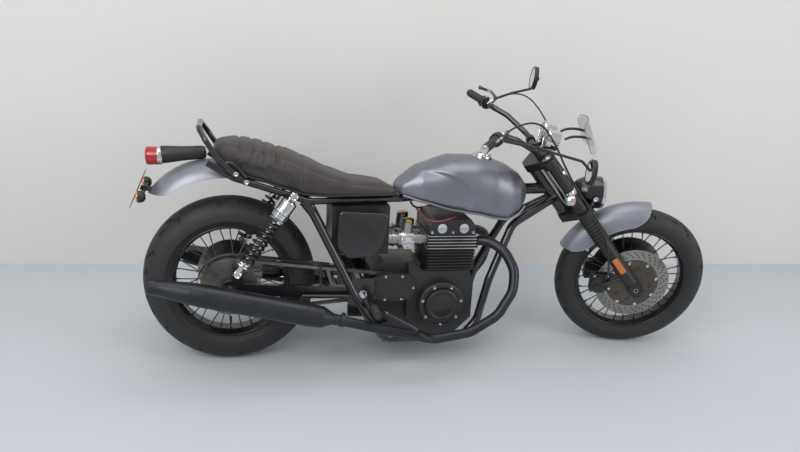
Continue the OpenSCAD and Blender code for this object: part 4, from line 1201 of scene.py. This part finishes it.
def makeGauges():
    r = gauge["radius"]
    top = gauge["top"]
    for side in bothSides:
        space = steerSpace @ shift(gauge["place"][0], side * gauge["place"][1], gauge["place"][2]) @ turnAbout(gauge["tilt"], "Y")
        rim = turned("gaugeRim", [(r - 6, top + 1), (r - 4, top + 5), (r, top + 5), (r + 1, top + 1), (r + 1, top - 5), (r - 1, top - 6), (r - 6, top - 1), (r - 6, top + 1)], 56)
        smoothShade(settle(rim, space), 36)
        dressed(rim, looks["chromePlate"], "steering")
        dial = turned("gaugeDial", [(0, top + 1.2), (r - 14, top + 1.2), (r - 13, top + 0.8), (r - 6, top + 1.4), (r - 6, top), (0, top)], 48)
        settle(dial, space)
        dressed(dial, looks["dialFace"], "steering")
        tick = block("tick", (4.5, 0.9, 0.5), (r - 10.5, 0, top + 1.6), 0.15, 1)
        ticks = scattered("gaugeTicks", tick, [turnAbout(-40 + i * 26, "Z") for i in range(11)])
        needle = block("needle", (r - 12, 1.4, 0.8), ((r - 12) / 2 - 4, 0, top + 2.4), 0.3, 1)
        cap = disc("needleCap", 4, 2, (0, 0, top + 2.4), 20, 0.5)
        marks = joined("gaugeMarks", [ticks, needle, cap])
        settle(marks, space @ turnAbout(150, "Z"))
        dressed(marks, looks["dialMark"], "steering")
        glass = turned("gaugeGlass", [(0, top + 5.2), (r - 9, top + 4.4), (r - 5, top + 3.8), (r - 5, top + 2.9), (0, top + 3.6)], 48)
        smoothShade(settle(glass, space), 40)
        dressed(glass, looks["clearGlass"], "steering")


makeGauges()
print("headlight and gauges built")


# Handlebar ends, from the same four points as the bar: grips, levers, masters, switches, mirrors
bars = {"points": [(40, 95, 732), (12, 152, 832), (-20, 182, 890), (-80, 365, 945)], "gripLength": 122, "gripRadius": 16, "mirror": 47}
gripWay = (Vector(bars["points"][3]) - Vector(bars["points"][2])).normalized()


def barPoint(back, side, extra=(0, 0, 0)):
    place = Vector(bars["points"][3]) - gripWay * back + Vector(extra)
    return Vector((place.x, side * place.y, place.z))


def makeBarEnds(side):
    label = "Right" if side < 0 else "Left"
    start, end = barPoint(bars["gripLength"], side), barPoint(10, side)
    length = (end - start).length
    r = bars["gripRadius"]
    profile = [(11.3, 0), (r + 3, 0), (r + 3, 4), (r - 0.6, 6)]
    for ring in range(14):
        z = 9 + ring * (length - 20) / 14
        profile += [(r - 0.9, z), (r, z + 1.2), (r, z + 4.6), (r - 0.9, z + 5.8)]
    profile += [(r, length - 6), (r, length - 1.5), (r - 2, length), (11.3, length), (11.3, 0)]
    grip = turned("grip" + label, profile, 40)
    smoothShade(settle(grip, steerSpace @ aimed(start, end)), 30)
    dressed(grip, looks["mouldedRubber"], "steering")
    if side < 0:
        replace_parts(grip, "grips")
    plug = turned("barEnd" + label, [(0, 0), (10, 0), (13, 1), (14.5, 4), (14.5, 12), (0, 13)], 36)
    smoothShade(settle(plug, steerSpace @ aimed(barPoint(-3, side), barPoint(20, side))), 30)
    dressed(plug, looks["chromePlate"], "steering")

    # lever blade with its ball end, and the bright clamp beside it
    blade = tube("lever" + label, [
        barPoint(bars["gripLength"] + 46, side, (20, 0, 0)), barPoint(bars["gripLength"] + 20, side, (44, 0, -1)),
        barPoint(bars["gripLength"] - 20, side, (54, 0, -4)), barPoint(50, side, (50, 0, -2)), barPoint(24, side, (44, 0, 0))], 5.6)
    ball = disc("leverBall", 9, 12, (0, 0, 0), 20, 4.2)
    settle(ball, Matrix.Translation(barPoint(24, side, (44, 0, 0))))
    clamp = block("leverClamp", (34, 24, 22), (0, 0, 0), 5, 3)
    settle(clamp, aimed(barPoint(bars["gripLength"] + 44, side, (10, 0, 0)), barPoint(bars["gripLength"] + 60, side, (10, 0, 0))))
    blade = joined("lever" + label, [blade, ball, clamp])
    smoothShade(settle(blade, steerSpace), 38)
    dressed(blade, looks["chromePlate"], "steering")

    # switch pod details: seam ring, rocker and screws
    pod = aimed(barPoint(bars["gripLength"] + 2, side), barPoint(bars["gripLength"] + 40, side))
    seamRing = turned("podSeam", [(24.2, 16), (25.2, 17), (25.2, 19), (24.2, 20), (24.2, 16)], 40)
    settle(seamRing, steerSpace @ pod)
    dressed(seamRing, looks["forkBlack"], "steering")
    rocker = block("rocker", (12, 8, 7), (0, 0, 0), 2, 3)
    settle(rocker, steerSpace @ pod @ turnAbout(-side * 40, "Z") @ shift(-23, 0, 10))
    dressed(rocker, looks["redLens"] if side < 0 else looks["blackPlastic"], "steering")
    screws = scattered("podScrews" + label, boltHead("podScrew", 3, 2.4), [
        pod @ turnAbout(turn, "Z") @ shift(0, 0, z) @ shift(24, 0, 0) @ turnAbout(90, "Y") for turn in (60, 180) for z in (8, 28)])
    settle(screws, steerSpace)
    dressed(screws, looks["chromePlate"], "steering")


for side in bothSides:
    makeBarEnds(side)


def makeMirrors():
    r = bars["mirror"]
    for side, place in ((-1, (171, -214, 590)), (1, (173, 355, 836))):
        space = steerSpace @ Matrix.Translation(place) @ turnAbout(stance["rake"] + 96, "Y")
        shell = turned("mirrorShell", [
            (0, 13), (r * 0.4, 11.5), (r * 0.8, 6), (r, -1), (r + 0.4, -7), (r - 1, -10), (r - 3, -10), (r - 3, -6), (0, -6)], 64)
        smoothShade(settle(shell, space), 40)
        dressed(shell, looks["blackPlastic"], "steering")
        pane = turned("mirrorPane", [(0, -8.6), (r - 10, -8.8), (r - 4, -9.4), (r - 3.2, -8.6), (r - 4, -7), (0, -7)], 56)
        smoothShade(settle(pane, space), 60)
        dressed(pane, looks["mirrorGlass"], "steering")
        joint = disc("mirrorJoint", 8, 14, (0, 0, 14), 24, 2.5)
        smoothShade(settle(joint, space), 40)
        dressed(joint, looks["blackPlastic"], "steering")


makeMirrors()
print("bars dressed")


# Fly screen: a clear curved sheet with rounded corners on two dark stays
screen = {"place": (206, 0, 640), "tilt": stance["rake"] - 24, "radius": 102, "half": 47, "low": -60, "high": 70, "sheet": 3}


def makeFlyScreen():
    deselectAll()
    bpy.ops.mesh.primitive_grid_add(x_subdivisions=36, y_subdivisions=30, size=2)
    sheet = newest("flyScreenSheet")
    for vertex in sheet.data.vertices:
        tall = abs(vertex.co.y)
        narrow = 1 if tall < 0.6 else 1 - 0.22 * ((tall - 0.6) / 0.4) ** 2.4
        turn = math.radians(screen["half"]) * vertex.co.x * narrow
        z = between(screen["low"], screen["high"], (vertex.co.y + 1) / 2)
        vertex.co = (-60 + screen["radius"] * math.cos(turn), screen["radius"] * math.sin(turn), z)
    wall = sheet.modifiers.new("wall", "SOLIDIFY")
    wall.thickness = screen["sheet"]
    wall.offset = 0
    applyModifiers(sheet)
    bevelled(sheet, 0.8, 2, 50)
    space = steerSpace @ Matrix.Translation(screen["place"]) @ turnAbout(screen["tilt"], "Y")
    smoothShade(settle(sheet, space), 40)
    dressed(sheet, looks["screenClear"], "steering")
    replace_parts(sheet, "fly_screen")
    stays = []
    for side in bothSides:
        stays.append(tube("screenStay", [
            (gauge["place"][0] + 39, side * 48, gauge["place"][2] - 26), (190, side * 50, 690), (screen["place"][0] + 26, side * 48, screen["place"][2] - 6)], 5))
    stays = joined("screenStays", stays)
    smoothShade(settle(stays, steerSpace), 40)
    dressed(stays, looks["forkBlack"], "steering")


makeFlyScreen()


# Bullet indicators in front: chrome body, orange lens ahead, stalk and clamp
def makeFrontIndicators():
    bodies, lenses = [], []
    for side in bothSides:
        space = steerSpace @ shift(stance["forkOffset"], side * stance["forkHalf"], 516)
        bullet = turned("indicatorBody", [(0, -21), (9, -20), (17, -13), (20.5, -2), (21, 12), (19.5, 14), (0, 13)], 40)
        settle(bullet, space @ shift(-12, side * 62, 0) @ turnAbout(stance["rake"] + 90, "Y"))
        clamp = turned("indicatorClamp", [(20.8, -11), (25, -11), (25.8, -9), (25.8, 9), (25, 11), (20.8, 11), (20.8, -11)], 40)
        settle(clamp, space)
        stalk = settle(tube("indicatorStalk", [(0, side * 24, 0), (-4, side * 36, 0), (-12, side * 50, 0)], 6), space)
        bodies += [bullet, clamp, stalk]
        lens = turned("indicatorLens", [(19, 12), (19.6, 15), (16, 19), (8, 20.8), (0, 21), (0, 12)], 40)
        lenses.append(settle(lens, space @ shift(-12, side * 62, 0) @ turnAbout(stance["rake"] + 90, "Y")))
    body = joined("frontIndicatorBodies", bodies)
    smoothShade(body, 36)
    dressed(body, looks["chromePlate"], "steering")
    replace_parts(body, "front_indicators")
    lens = joined("frontIndicatorLenses", lenses)
    smoothShade(lens, 40)
    dressed(lens, looks["orangeLens"], "steering")


makeFrontIndicators()


# Tail light: red dome lens, chrome ring and a black housing that lies on the fender
def makeTailLight():
    space = bikeSpace @ shift(-292, 0, 786) @ turnAbout(90, "Y")
    lens = turned("tailLens", [(0, 0), (18, 0.6), (28, 3), (32, 8), (32.6, 14), (32.6, 46), (0, 46)], 56)
    smoothShade(settle(lens, space), 36)
    dressed(lens, looks["redLens"], "frame")
    ring = turned("tailRing", [(30, 44), (33, 44), (33, 56), (31, 60), (28, 60), (30, 44)], 56)
    smoothShade(settle(ring, space), 30)
    dressed(ring, looks["chromePlate"], "frame")
    housing = turned("tailHousing", [(0, 56), (31, 57), (31.5, 66), (29.5, 90), (26, 130), (24, 200), (20, 212), (0, 215)], 48)
    smoothShade(settle(housing, space @ turnAbout(-4, "Y")), 36)
    dressed(housing, looks["blackPlastic"], "frame")
    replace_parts(lens, "tail_light")


makeTailLight()


# Number plate left blank, its black bracket, and the rear indicators
def makePlate():
    space = bikeSpace @ shift(-322, 0, 668) @ turnAbout(24, "Y")
    backing = block("plateBacking", (2, 150, 120), (0.8, 0, 0), 0.8)
    settle(backing, space)
    arm = tube("plateArm", [(-313, 0, 671), (-300, 0, 666), (-276, 0, 664), (-250, 0, 667)], 9)
    settle(arm, bikeSpace)
    parts = [backing, arm]
    lenses = []
    for side in bothSides:
        parts.append(settle(tube("rearStalk", [(-300, side * 4, 664), (-300, side * 60, 664), (-300, side * 116, 664)], 7), bikeSpace))
        bullet = turned("rearBullet", [(0, 17), (9, 16), (17, 10), (20.5, 0), (21, -9), (0, -10)], 40)
        parts.append(settle(bullet, bikeSpace @ shift(-301, side * 120, 664) @ turnAbout(90, "Y")))
        lens = turned("rearLens", [(20, -9), (19.6, -13), (14, -16.4), (0, -17), (0, -9)], 40)
        lenses.append(settle(lens, bikeSpace @ shift(-301, side * 120, 664) @ turnAbout(90, "Y")))
    bracket = joined("plateBracketBlack", parts)
    smoothShade(bracket, 36)
    dressed(bracket, looks["blackPlastic"], "frame")
    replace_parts(bracket, "plate_bracket")
    plate = block("blankPlate", (1, 142, 112), (-1, 0, 0), 0.4)
    settle(plate, space)
    dressed(plate, looks["plateWhite"], "frame")
    lens = joined("rearIndicatorLenses", lenses)
    smoothShade(lens, 40)
    dressed(lens, looks["orangeLens"], "frame")


makePlate()
print("lights, screen and plate built")


# Side covers: pillowed black panels with a lip and three screws
sideCover = {
    "outline": [(392, 616), (575, 606), (557, 486), (521, 440), (425, 436), (386, 484)],
    "inner": 138, "outer": 147, "screws": ((420, 590), (540, 580), (450, 470)),
}


def outlined(name, outline, corner, height):
    # a flat outline in x and z with rounded corners, pulled out towards -y
    mesh = bpy.data.meshes.new(name)
    mesh.from_pydata([(x, 0, z) for x, z in outline], [], [tuple(range(len(outline)))])
    obj = bpy.data.objects.new(name, mesh)
    bpy.context.scene.collection.objects.link(obj)
    editMesh(obj)
    bpy.ops.mesh.select_all(action="SELECT")
    bpy.ops.mesh.bevel(offset=corner, segments=6, affect="VERTICES")
    bpy.ops.mesh.select_all(action="SELECT")
    bpy.ops.mesh.extrude_region_move(TRANSFORM_OT_translate={"value": (0, -height, 0)})
    bpy.ops.mesh.select_all(action="SELECT")
    bpy.ops.mesh.normals_make_consistent(inside=False)
    endEdit()
    return obj


def raisedFace(obj, steps):
    # insets and lifts the face that looks towards -y, step by step
    for thickness, depth in steps:
        editMesh(obj)
        bpy.ops.mesh.select_all(action="DESELECT")
        work = bmesh.from_edit_mesh(obj.data)
        work.faces.ensure_lookup_table()
        face = min(work.faces, key=lambda f: f.calc_center_median().y - f.calc_area() * 1e-6)
        face.select = True
        bmesh.update_edit_mesh(obj.data)
        bpy.ops.mesh.inset(thickness=thickness, depth=depth)
        endEdit()
    return obj


def makeSideCovers():
    for side in bothSides:
        label = "Right" if side < 0 else "Left"
        panel = outlined("sideCover" + label, sideCover["outline"], 16, sideCover["outer"] - sideCover["inner"] - 4)
        raisedFace(panel, ((1.2, 1.2), (2.5, 1.3), (4, 0.9), (7, 0.6)))
        bevelled(panel, 0.6, 2, 40)
        flip = Matrix.Identity(4) if side < 0 else Matrix.Diagonal((1, -1, 1, 1))
        settle(panel, bikeSpace @ flip @ shift(0, -sideCover["inner"], 0))
        if side > 0:
            editMesh(panel)
            bpy.ops.mesh.select_all(action="SELECT")
            bpy.ops.mesh.normals_make_consistent(inside=False)
            endEdit()
        smoothShade(panel, 32)
        dressed(panel, looks["frameBlack"], "frame")
        if side < 0:
            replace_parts(panel, "side_covers")
        screws = scattered("coverScrews" + label, boltHead("coverScrew", 4.5, 2), [
            facing((x, side * (sideCover["outer"] - 3), z), (0, side, 0)) for x, z in ((408, 600), (560, 594), (440, 448))])
        settle(screws, bikeSpace)
        dressed(screws, looks["chromePlate"], "frame")


makeSideCovers()
print("side covers shaped")


# Engine: polished fin edges, cover rings and bolts, throttle band and brass cap, plug leads
engine = {
    "block": (748, 918), "half": 104, "finOut": 10, "finLow": 371, "finStep": 12, "fins": 12, "polished": 5,
    "crank": (800, 244), "crankRadius": 90, "caseHalf": 112, "oval": (575, 317), "ovalRadius": 53, "ovalLength": 64,
    "camTop": 575, "camLow": 515, "intake": 486,
}


def makeEngine():
    edges = []
    x0, x1 = engine["block"][0] - engine["finOut"], engine["block"][1] + engine["finOut"]
    half = engine["half"] + engine["finOut"]
    for i in range(engine["fins"] - engine["polished"], engine["fins"]):
        z = engine["finLow"] + engine["finStep"] / 2 + i * engine["finStep"] + 2
        for side in bothSides:
            edges.append(block("finEdge", (x1 - x0 + 1.6, 1.6, 4.8), ((x0 + x1) / 2, side * (half + 0.4), z), 0.6))
        for x in (x0 - 0.4, x1 + 0.4):
            edges.append(block("finEdge", (1.6, 2 * half + 1.6, 4.8), (x, 0, z), 0.6))
    edge = joined("polishedFinEdges", edges)
    settle(edge, bikeSpace)
    dressed(edge, looks["castAlloy"], "frame")

    black, bright, steel = [], [], []
    for side in bothSides:
        crank = facing((engine["crank"][0], side * 140, engine["crank"][1]), (0, side, 0))
        black.append(settle(turned("crankRim", [(64.9, 0), (88, 0), (89.5, 1.5), (88, 3), (84, 4), (72, 4), (68, 2), (64.9, 2), (64.9, 0)], 72), crank))
        face = facing((engine["crank"][0], side * 152, engine["crank"][1]), (0, side, 0))
        black.append(settle(turned("crankFace", [(0, 2), (40, 2), (43, 0.6), (50, 0.6), (53, 2.6), (60, 2.4), (64, 0), (0, 0)], 72), face))
        for a in range(7):
            turn = math.radians(a * 360 / 7 + 12)
            steel.append(settle(boltHead("crankBolt", 5, 5), facing(
                (engine["crank"][0] + 78 * math.cos(turn), side * 143.5, engine["crank"][1] + 78 * math.sin(turn)), (0, side, 0))))
        oval = disc("ovalPanel", engine["ovalRadius"] - 12, 3, (0, 0, 0), 48, 0, 5, -1.2)
        editMesh(oval)
        work = bmesh.from_edit_mesh(oval.data)
        for vertex in work.verts:
            if vertex.co.x > 0.01:
                vertex.co.x += engine["ovalLength"]
        bmesh.update_edit_mesh(oval.data)
        endEdit()
        bevelled(oval, 0.8, 2, 40)
        black.append(settle(oval, Matrix.Translation((engine["oval"][0], side * 142.3, engine["oval"][1])) @ turnAbout(90 if side < 0 else -90, "X")))
        for x, z in ((-44, 0), (engine["ovalLength"] + 44, 0), (0, 45), (engine["ovalLength"], 45), (0, -45), (engine["ovalLength"], -45)):
            steel.append(settle(boltHead("ovalBolt", 4.2, 4), facing((engine["oval"][0] + x, side * 141, engine["oval"][1] + z), (0, side, 0))))
        for x in (790, 876):
            bright.append(settle(disc("camCap", 19, 6, (0, 0, 3), 40, 1.4, 5, -1.5), facing((x, side * 110, 542), (0, side, 0))))
        for x in (752, 834, 914):
            steel.append(settle(boltHead("camBolt", 4.6, 4), facing((x, side * 110, 526), (0, side, 0))))
        band = turned("throttleBand", [(33.3, 0), (35, 1), (35, 4), (34, 5), (34, 17), (35, 18), (35, 21), (33.3, 22), (33.3, 0)], 48)
        bright.append(settle(band, Matrix.Translation((636, side * 54, engine["intake"])) @ turnAbout(90, "Y")))
        clamp = turned("throttleClamp", [(26.3, 0), (29, 0.6), (29, 8.4), (26.3, 9), (26.3, 0)], 44)
        for x in (606, 708):
            steel.append(settle(copied(clamp, Matrix.Identity(4)), Matrix.Translation((x, side * 54, engine["intake"])) @ turnAbout(90, "Y")))
        removed(clamp)
        cover = disc("throttleCover", 25, 12, (0, 0, 6), 44, 2.4, 7, -2)
        bright.append(settle(cover, facing((664, side * 85, engine["intake"] - 4), (0, side, 0))))
        for a in range(3):
            turn = math.radians(a * 120 + 30)
            steel.append(settle(boltHead("throttleScrew", 3, 3), facing(
                (664 + 20 * math.cos(turn), side * 97, engine["intake"] - 4 + 20 * math.sin(turn)), (0, side, 0))))
    blackPart = joined("engineCoverDetail", black)
    smoothShade(settle(blackPart, bikeSpace), 34)
    dressed(blackPart, looks["engineBlack"], "frame")
    brightPart = joined("engineBrightDetail", bright)
    smoothShade(settle(brightPart, bikeSpace), 34)
    dressed(brightPart, looks["chromePlate"], "frame")
    steelPart = joined("engineFasteners", steel)
    settle(steelPart, bikeSpace)
    dressed(steelPart, looks["axleSteel"], "frame")

    caps = []
    for side in bothSides:
        cap = turned("throttleCap", [(0, 4), (14, 3), (20, 1), (22.4, -2), (22.4, -16), (21.9, -18), (21.9, -2), (0, -2)], 44)
        caps.append(settle(cap, Matrix.Translation((670, side * 54, engine["intake"] + 79))))
    brass = joined("throttleCaps", caps)
    smoothShade(settle(brass, bikeSpace), 34)
    dressed(brass, looks["brassCap"], "frame")

    leads = []
    for side in bothSides:
        leads.append(tube("plugLead", [(846, side * 80, 570), (842, side * 96, 584), (816, side * 118, 580), (778, side * 120, 570), (742, side * 104, 566), (716, side * 82, 580), (700, side * 52, 606)], 4.2))
        boot = turned("plugBoot", [(0, 0), (10, 0), (10, 8), (7, 16), (5, 26), (0, 26)], 20)
        leads.append(settle(boot, aimed((848, side * 74, 560), (844, side * 92, 584))))
    lead = joined("plugLeads", leads)
    smoothShade(settle(lead, bikeSpace), 50)
    dressed(lead, looks["leadMaroon"], "frame")


makeEngine()
print("engine detailed")


# Exhausts: flanges and their nuts at the head, clamps at the joint, and tips with a dark disc of painted shade across
# the opening
exhaust = {"side": 224, "front": (395, 224), "rear": (-282, 372), "radius": 43, "head": (928, 66, 478)}


def makeExhaustTrim():
    front, rear = exhaust["front"], exhaust["rear"]
    clamps, tips, dark = [], [], []
    for side in bothSides:
        y = side * exhaust["side"]
        start, end = Vector((front[0], y, front[1])), Vector((rear[0], y, rear[1]))
        way = aimed(start, end)
        length = (end - start).length
        ring = turned("mufflerClamp", [(20.5, -4), (24, -3), (24, 13), (20.5, 14), (20.5, -4)], 44)
        clamps.append(settle(ring, way @ shift(0, 0, -12)))
        lug = block("clampLug", (14, 10, 14), (0, 0, 0), 2)
        clamps.append(settle(lug, way @ shift(0, -side * 26, -7)))
        tip = turned("mufflerTip", [(26.9, length - 24), (28.6, length - 22), (28.2, length - 1), (26, length), (22, length - 2), (22, length + 0.4), (20, length + 0.4), (20, length - 3), (26.9, length - 24)], 48)
        tips.append(settle(tip, way))
        # a flat dark disc across the tip's opening: painted shade standing in for the pipe's dark inside
        hole = turned("tipShadeDisc", [(0, length + 0.2), (21.6, length + 0.2), (21.6, length + 0.6), (0, length + 0.5)], 40)
        dark.append(settle(hole, way))
        band = turned("mufflerBand", [(42.9, 0), (44.2, 1), (44.2, 5), (42.9, 6), (42.9, 0)], 56)
        tips.append(settle(band, way @ shift(0, 0, length * 0.18)))
        flange = disc("headFlange", 31, 8, (0, 0, 4), 44, 2, 6, 1)
        clamps.append(settle(flange, aimed((928.4, side * 66, 478), (980, side * 84, 488))))
        for turn in (40, 220):
            clamps.append(settle(boltHead("flangeNut", 6, 7), aimed((936, side * 66, 478), (990, side * 66, 478)) @ turnAbout(turn, "Z") @ shift(26, 0, 0)))
    clamp = joined("exhaustClamps", clamps)
    smoothShade(settle(clamp, bikeSpace), 34)
    dressed(clamp, looks["forkBlack"], "frame")
    tip = joined("exhaustTips", tips)
    smoothShade(settle(tip, bikeSpace), 34)
    dressed(tip, looks["exhaustDark"], "frame")
    # the dark discs of painted shade that fill the tip openings
    hole = joined("exhaustTipShade", dark)
    settle(hole, bikeSpace)
    dressed(hole, looks["dialFace"], "frame")


makeExhaustTrim()


# Drive chain: rollers and side plates round both sprockets
drive = {"side": -98.5, "rear": (0, 321, 104.5), "front": (600, 315, 42.5), "links": 106}


def chainRoute():
    # places and directions at equal steps round the two sprockets
    rx, rz, rr = drive["rear"]
    fx, fz, fr = drive["front"]
    base = math.atan2(fz - rz, fx - rx)
    reach = math.hypot(fx - rx, fz - rz)
    open_ = math.acos((rr - fr) / reach)
    points = []
    for i in range(61):
        turn = base + open_ + (math.tau - 2 * open_) * i / 60
        points.append((rx + rr * math.cos(turn), rz + rr * math.sin(turn)))
    for i in range(31):
        turn = base - open_ + 2 * open_ * i / 30
        points.append((fx + fr * math.cos(turn), fz + fr * math.sin(turn)))
    points.append(points[0])
    spans = [math.dist(a, b) for a, b in zip(points, points[1:])]
    total = sum(spans)
    route = []
    for link in range(drive["links"]):
        want = total * link / drive["links"]
        for a, b, span in zip(points, points[1:], spans):
            if want <= span:
                share = want / span
                route.append((between(a[0], b[0], share), between(a[1], b[1], share), math.atan2(b[1] - a[1], b[0] - a[0])))
                break
            want -= span
    return route, total / drive["links"]


def makeChain():
    route, pitch = chainRoute()
    plates = []
    for y, width in ((-6.6, 1.4), (6.6, 1.4)):
        plates.append(block("linkPlate", (pitch * 1.02, width, 11), (0, y, 0), 0))
        pin = disc("linkPin", 2.6, 1.6, (0, 0, 0), 8)
        plates.append(settle(pin, shift(pitch / 2 - 3, y * 1.14, 0) @ turnAbout(90, "X")))
    roller = disc("linkRoller", 4.6, 11, (0, 0, 0), 8)
    plates.append(settle(roller, turnAbout(90, "X")))
    link = joined("chainLink", plates)
    places = [shift(x, drive["side"], z) @ turnAbout(-math.degrees(turn), "Y") @ Matrix.Scale(1 if i % 2 else 0.9, 4, (0, 1, 0)) for i, (x, z, turn) in enumerate(route)]
    links = scattered("chainLinks", link, places)
    settle(links, bikeSpace)
    dressed(links, looks["chainSteel"], "frame")
    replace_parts(links, "chain")


makeChain()
print("exhaust and chain detailed")


# Fork: orange reflectors, axle pinch bolts, caliper pots and bolts
def makeForkTrim():
    lenses, black, bolts = [], [], []
    for side in bothSides:
        y = side * (stance["forkHalf"] + 26)
        lens = block("reflector", (24, 4, 76), (0, 0, 0), 3, 3)
        lenses.append(settle(lens, shift(0, y + side * 3.4, 139)))
        black.append(block("reflectorBack", (28, 3, 80), (0, y + side * 0.6, 139), 1.4))
        for z in (-24, -12):
            bolts.append(settle(boltHead("pinchBolt", 4.5, 5), facing((-24, side * stance["forkHalf"], z), (-1, 0, 0))))
        caliperFace = turnAbout(-52, "Y") @ shift(0, side * 62.5, 122)
        for x in (-20, 20):
            pot = disc("caliperPot", 15, 6, (0, 0, 3), 32, 1.4, 4, -1)
            black.append(settle(pot, caliperFace @ facing((x, side * 17, 24), (0, side, 0))))
        for x, z in ((-36, 40), (36, 40), (-36, -14), (36, -14)):
            bolts.append(settle(boltHead("caliperBolt", 4.4, 5), caliperFace @ facing((x, side * 17, z), (0, side, 0))))
        black.append(settle(block("caliperBridge", (60, 30, 7), (0, 0, 49), 2.5), caliperFace))
        bolts.append(settle(turned("forkCap", [(0, 5), (9, 4.6), (11, 2), (17, 1.4), (19, 0), (0, 0)], 36), shift(0, side * stance["forkHalf"], 688)))
    lens = joined("forkReflectors", lenses)
    smoothShade(settle(lens, frontAxle), 40)
    dressed(lens, looks["orangeLens"], "steering")
    dark = joined("forkBlackTrim", black)
    smoothShade(settle(dark, frontAxle), 34)
    dressed(dark, looks["forkBlack"], "steering")
    bright = joined("forkFasteners", bolts)
    smoothShade(settle(bright, frontAxle), 34)
    dressed(bright, looks["axleSteel"], "steering")


makeForkTrim()


# Hoses and cables that hang on the steering from end to end: [bar end, route, lower end] in the fork's frame
hoses = {
    "brakeHose": {"radius": 3.6, "points": [
        (2, -212, 898), (40, -207, 894), (86, -190, 872), (112, -168, 834), (118, -140, 780), (112, -128, 700), (98, -126, 610),
        (92, -128, 520), (90, -132, 430), (88, -134, 350), (76, -138, 280), (48, -140, 210), (24, -136, 162), (2, -122, 126), (-14, -100, 100), (-26, -81, 84)]},
    "clutchCable": {"radius": 3, "points": [
        (2, 212, 898), (44, 206, 893), (92, 188, 870), (118, 166, 838), (128, 130, 790), (124, 104, 720), (110, 92, 640), (96, 88, 570), (88, 84, 500), (78, 72, 452), (62, 66, 418)]},
}


def smoothRoute(points, steps):
    # a curve through all the points, as a close run of places
    knots = [Vector(point) for point in points]
    knots = [knots[0] * 2 - knots[1]] + knots + [knots[-1] * 2 - knots[-2]]
    run = []
    for a, b, c, d in zip(knots, knots[1:], knots[2:], knots[3:]):
        for i in range(steps):
            t = i / steps
            run.append(0.5 * (2 * b + (c - a) * t + (2 * a - 5 * b + 4 * c - d) * t ** 2 + (3 * b - a - 3 * c + d) * t ** 3))
    return run + [knots[-2]]


def makeHoses():
    for name, hose in hoses.items():
        route = [steerSpace @ point for point in smoothRoute(hose["points"], 4)]
        hoseTube = tube(name, route, hose["radius"] / 1000, smooth=False, sides=2)
        smoothShade(hoseTube, 70)
        dressed(hoseTube, looks["mouldedRubber"], "steering")


makeHoses()


# Tail of the frame: grab rail foot loops and bolts, rear axle nuts and chain adjusters, foot peg rubbers
def makeFrameTrim():
    bright, rubber, black = [], [], []
    for side in bothSides:
        for x, z in ((60, 722), (24, 750)):
            bright.append(settle(boltHead("railBolt", 7, 6), facing((x, side * 141 if x > 30 else side * 138, z), (0, side, 0))))
        black.append(tube("railFoot", [(56, side * 130, 722), (10, side * 132, 742), (-18, side * 128, 776), (-6, side * 128, 796), (30, side * 129, 778), (58, side * 130, 736)], 6))
        bright.append(settle(boltHead("axleNut", 15, 9), facing((0, side * 142.5, 321), (0, side, 0))))
        black.append(block("axleBlock", (52, 5, 36), (-2, side * 144.5, 321), 2))
        bright.append(settle(boltHead("adjusterBolt", 5, 6), facing((-33, side * 130, 323), (-1, 0, 0))))
        bright.append(settle(boltHead("pivotBolt", 13, 6), facing((490, side * 155, 300), (0, side, 0))))
        peg = [(12.2, 0), (15, 0), (15, 2)]
        for i in range(6):
            peg += [(13.4, 6 + i * 11), (15, 8 + i * 11), (15, 13 + i * 11), (13.4, 15 + i * 11)]
        peg += [(15, 76), (14.4, 78), (12.2, 78), (12.2, 0)]
        rubber.append(settle(turned("pegRubber", peg, 32), facing((520, side * 221, 268), (0, side, 0))))
    brightPart = joined("frameFasteners", bright)
    settle(brightPart, bikeSpace)
    dressed(brightPart, looks["chromePlate"], "frame")
    blackPart = joined("frameBlackTrim", black)
    smoothShade(settle(blackPart, bikeSpace), 38)
    dressed(blackPart, looks["frameBlack"], "frame")
    rubberPart = joined("pegRubbers", rubber)
    smoothShade(settle(rubberPart, bikeSpace), 34)
    dressed(rubberPart, looks["mouldedRubber"], "frame")


makeFrameTrim()
print("trim fitted")
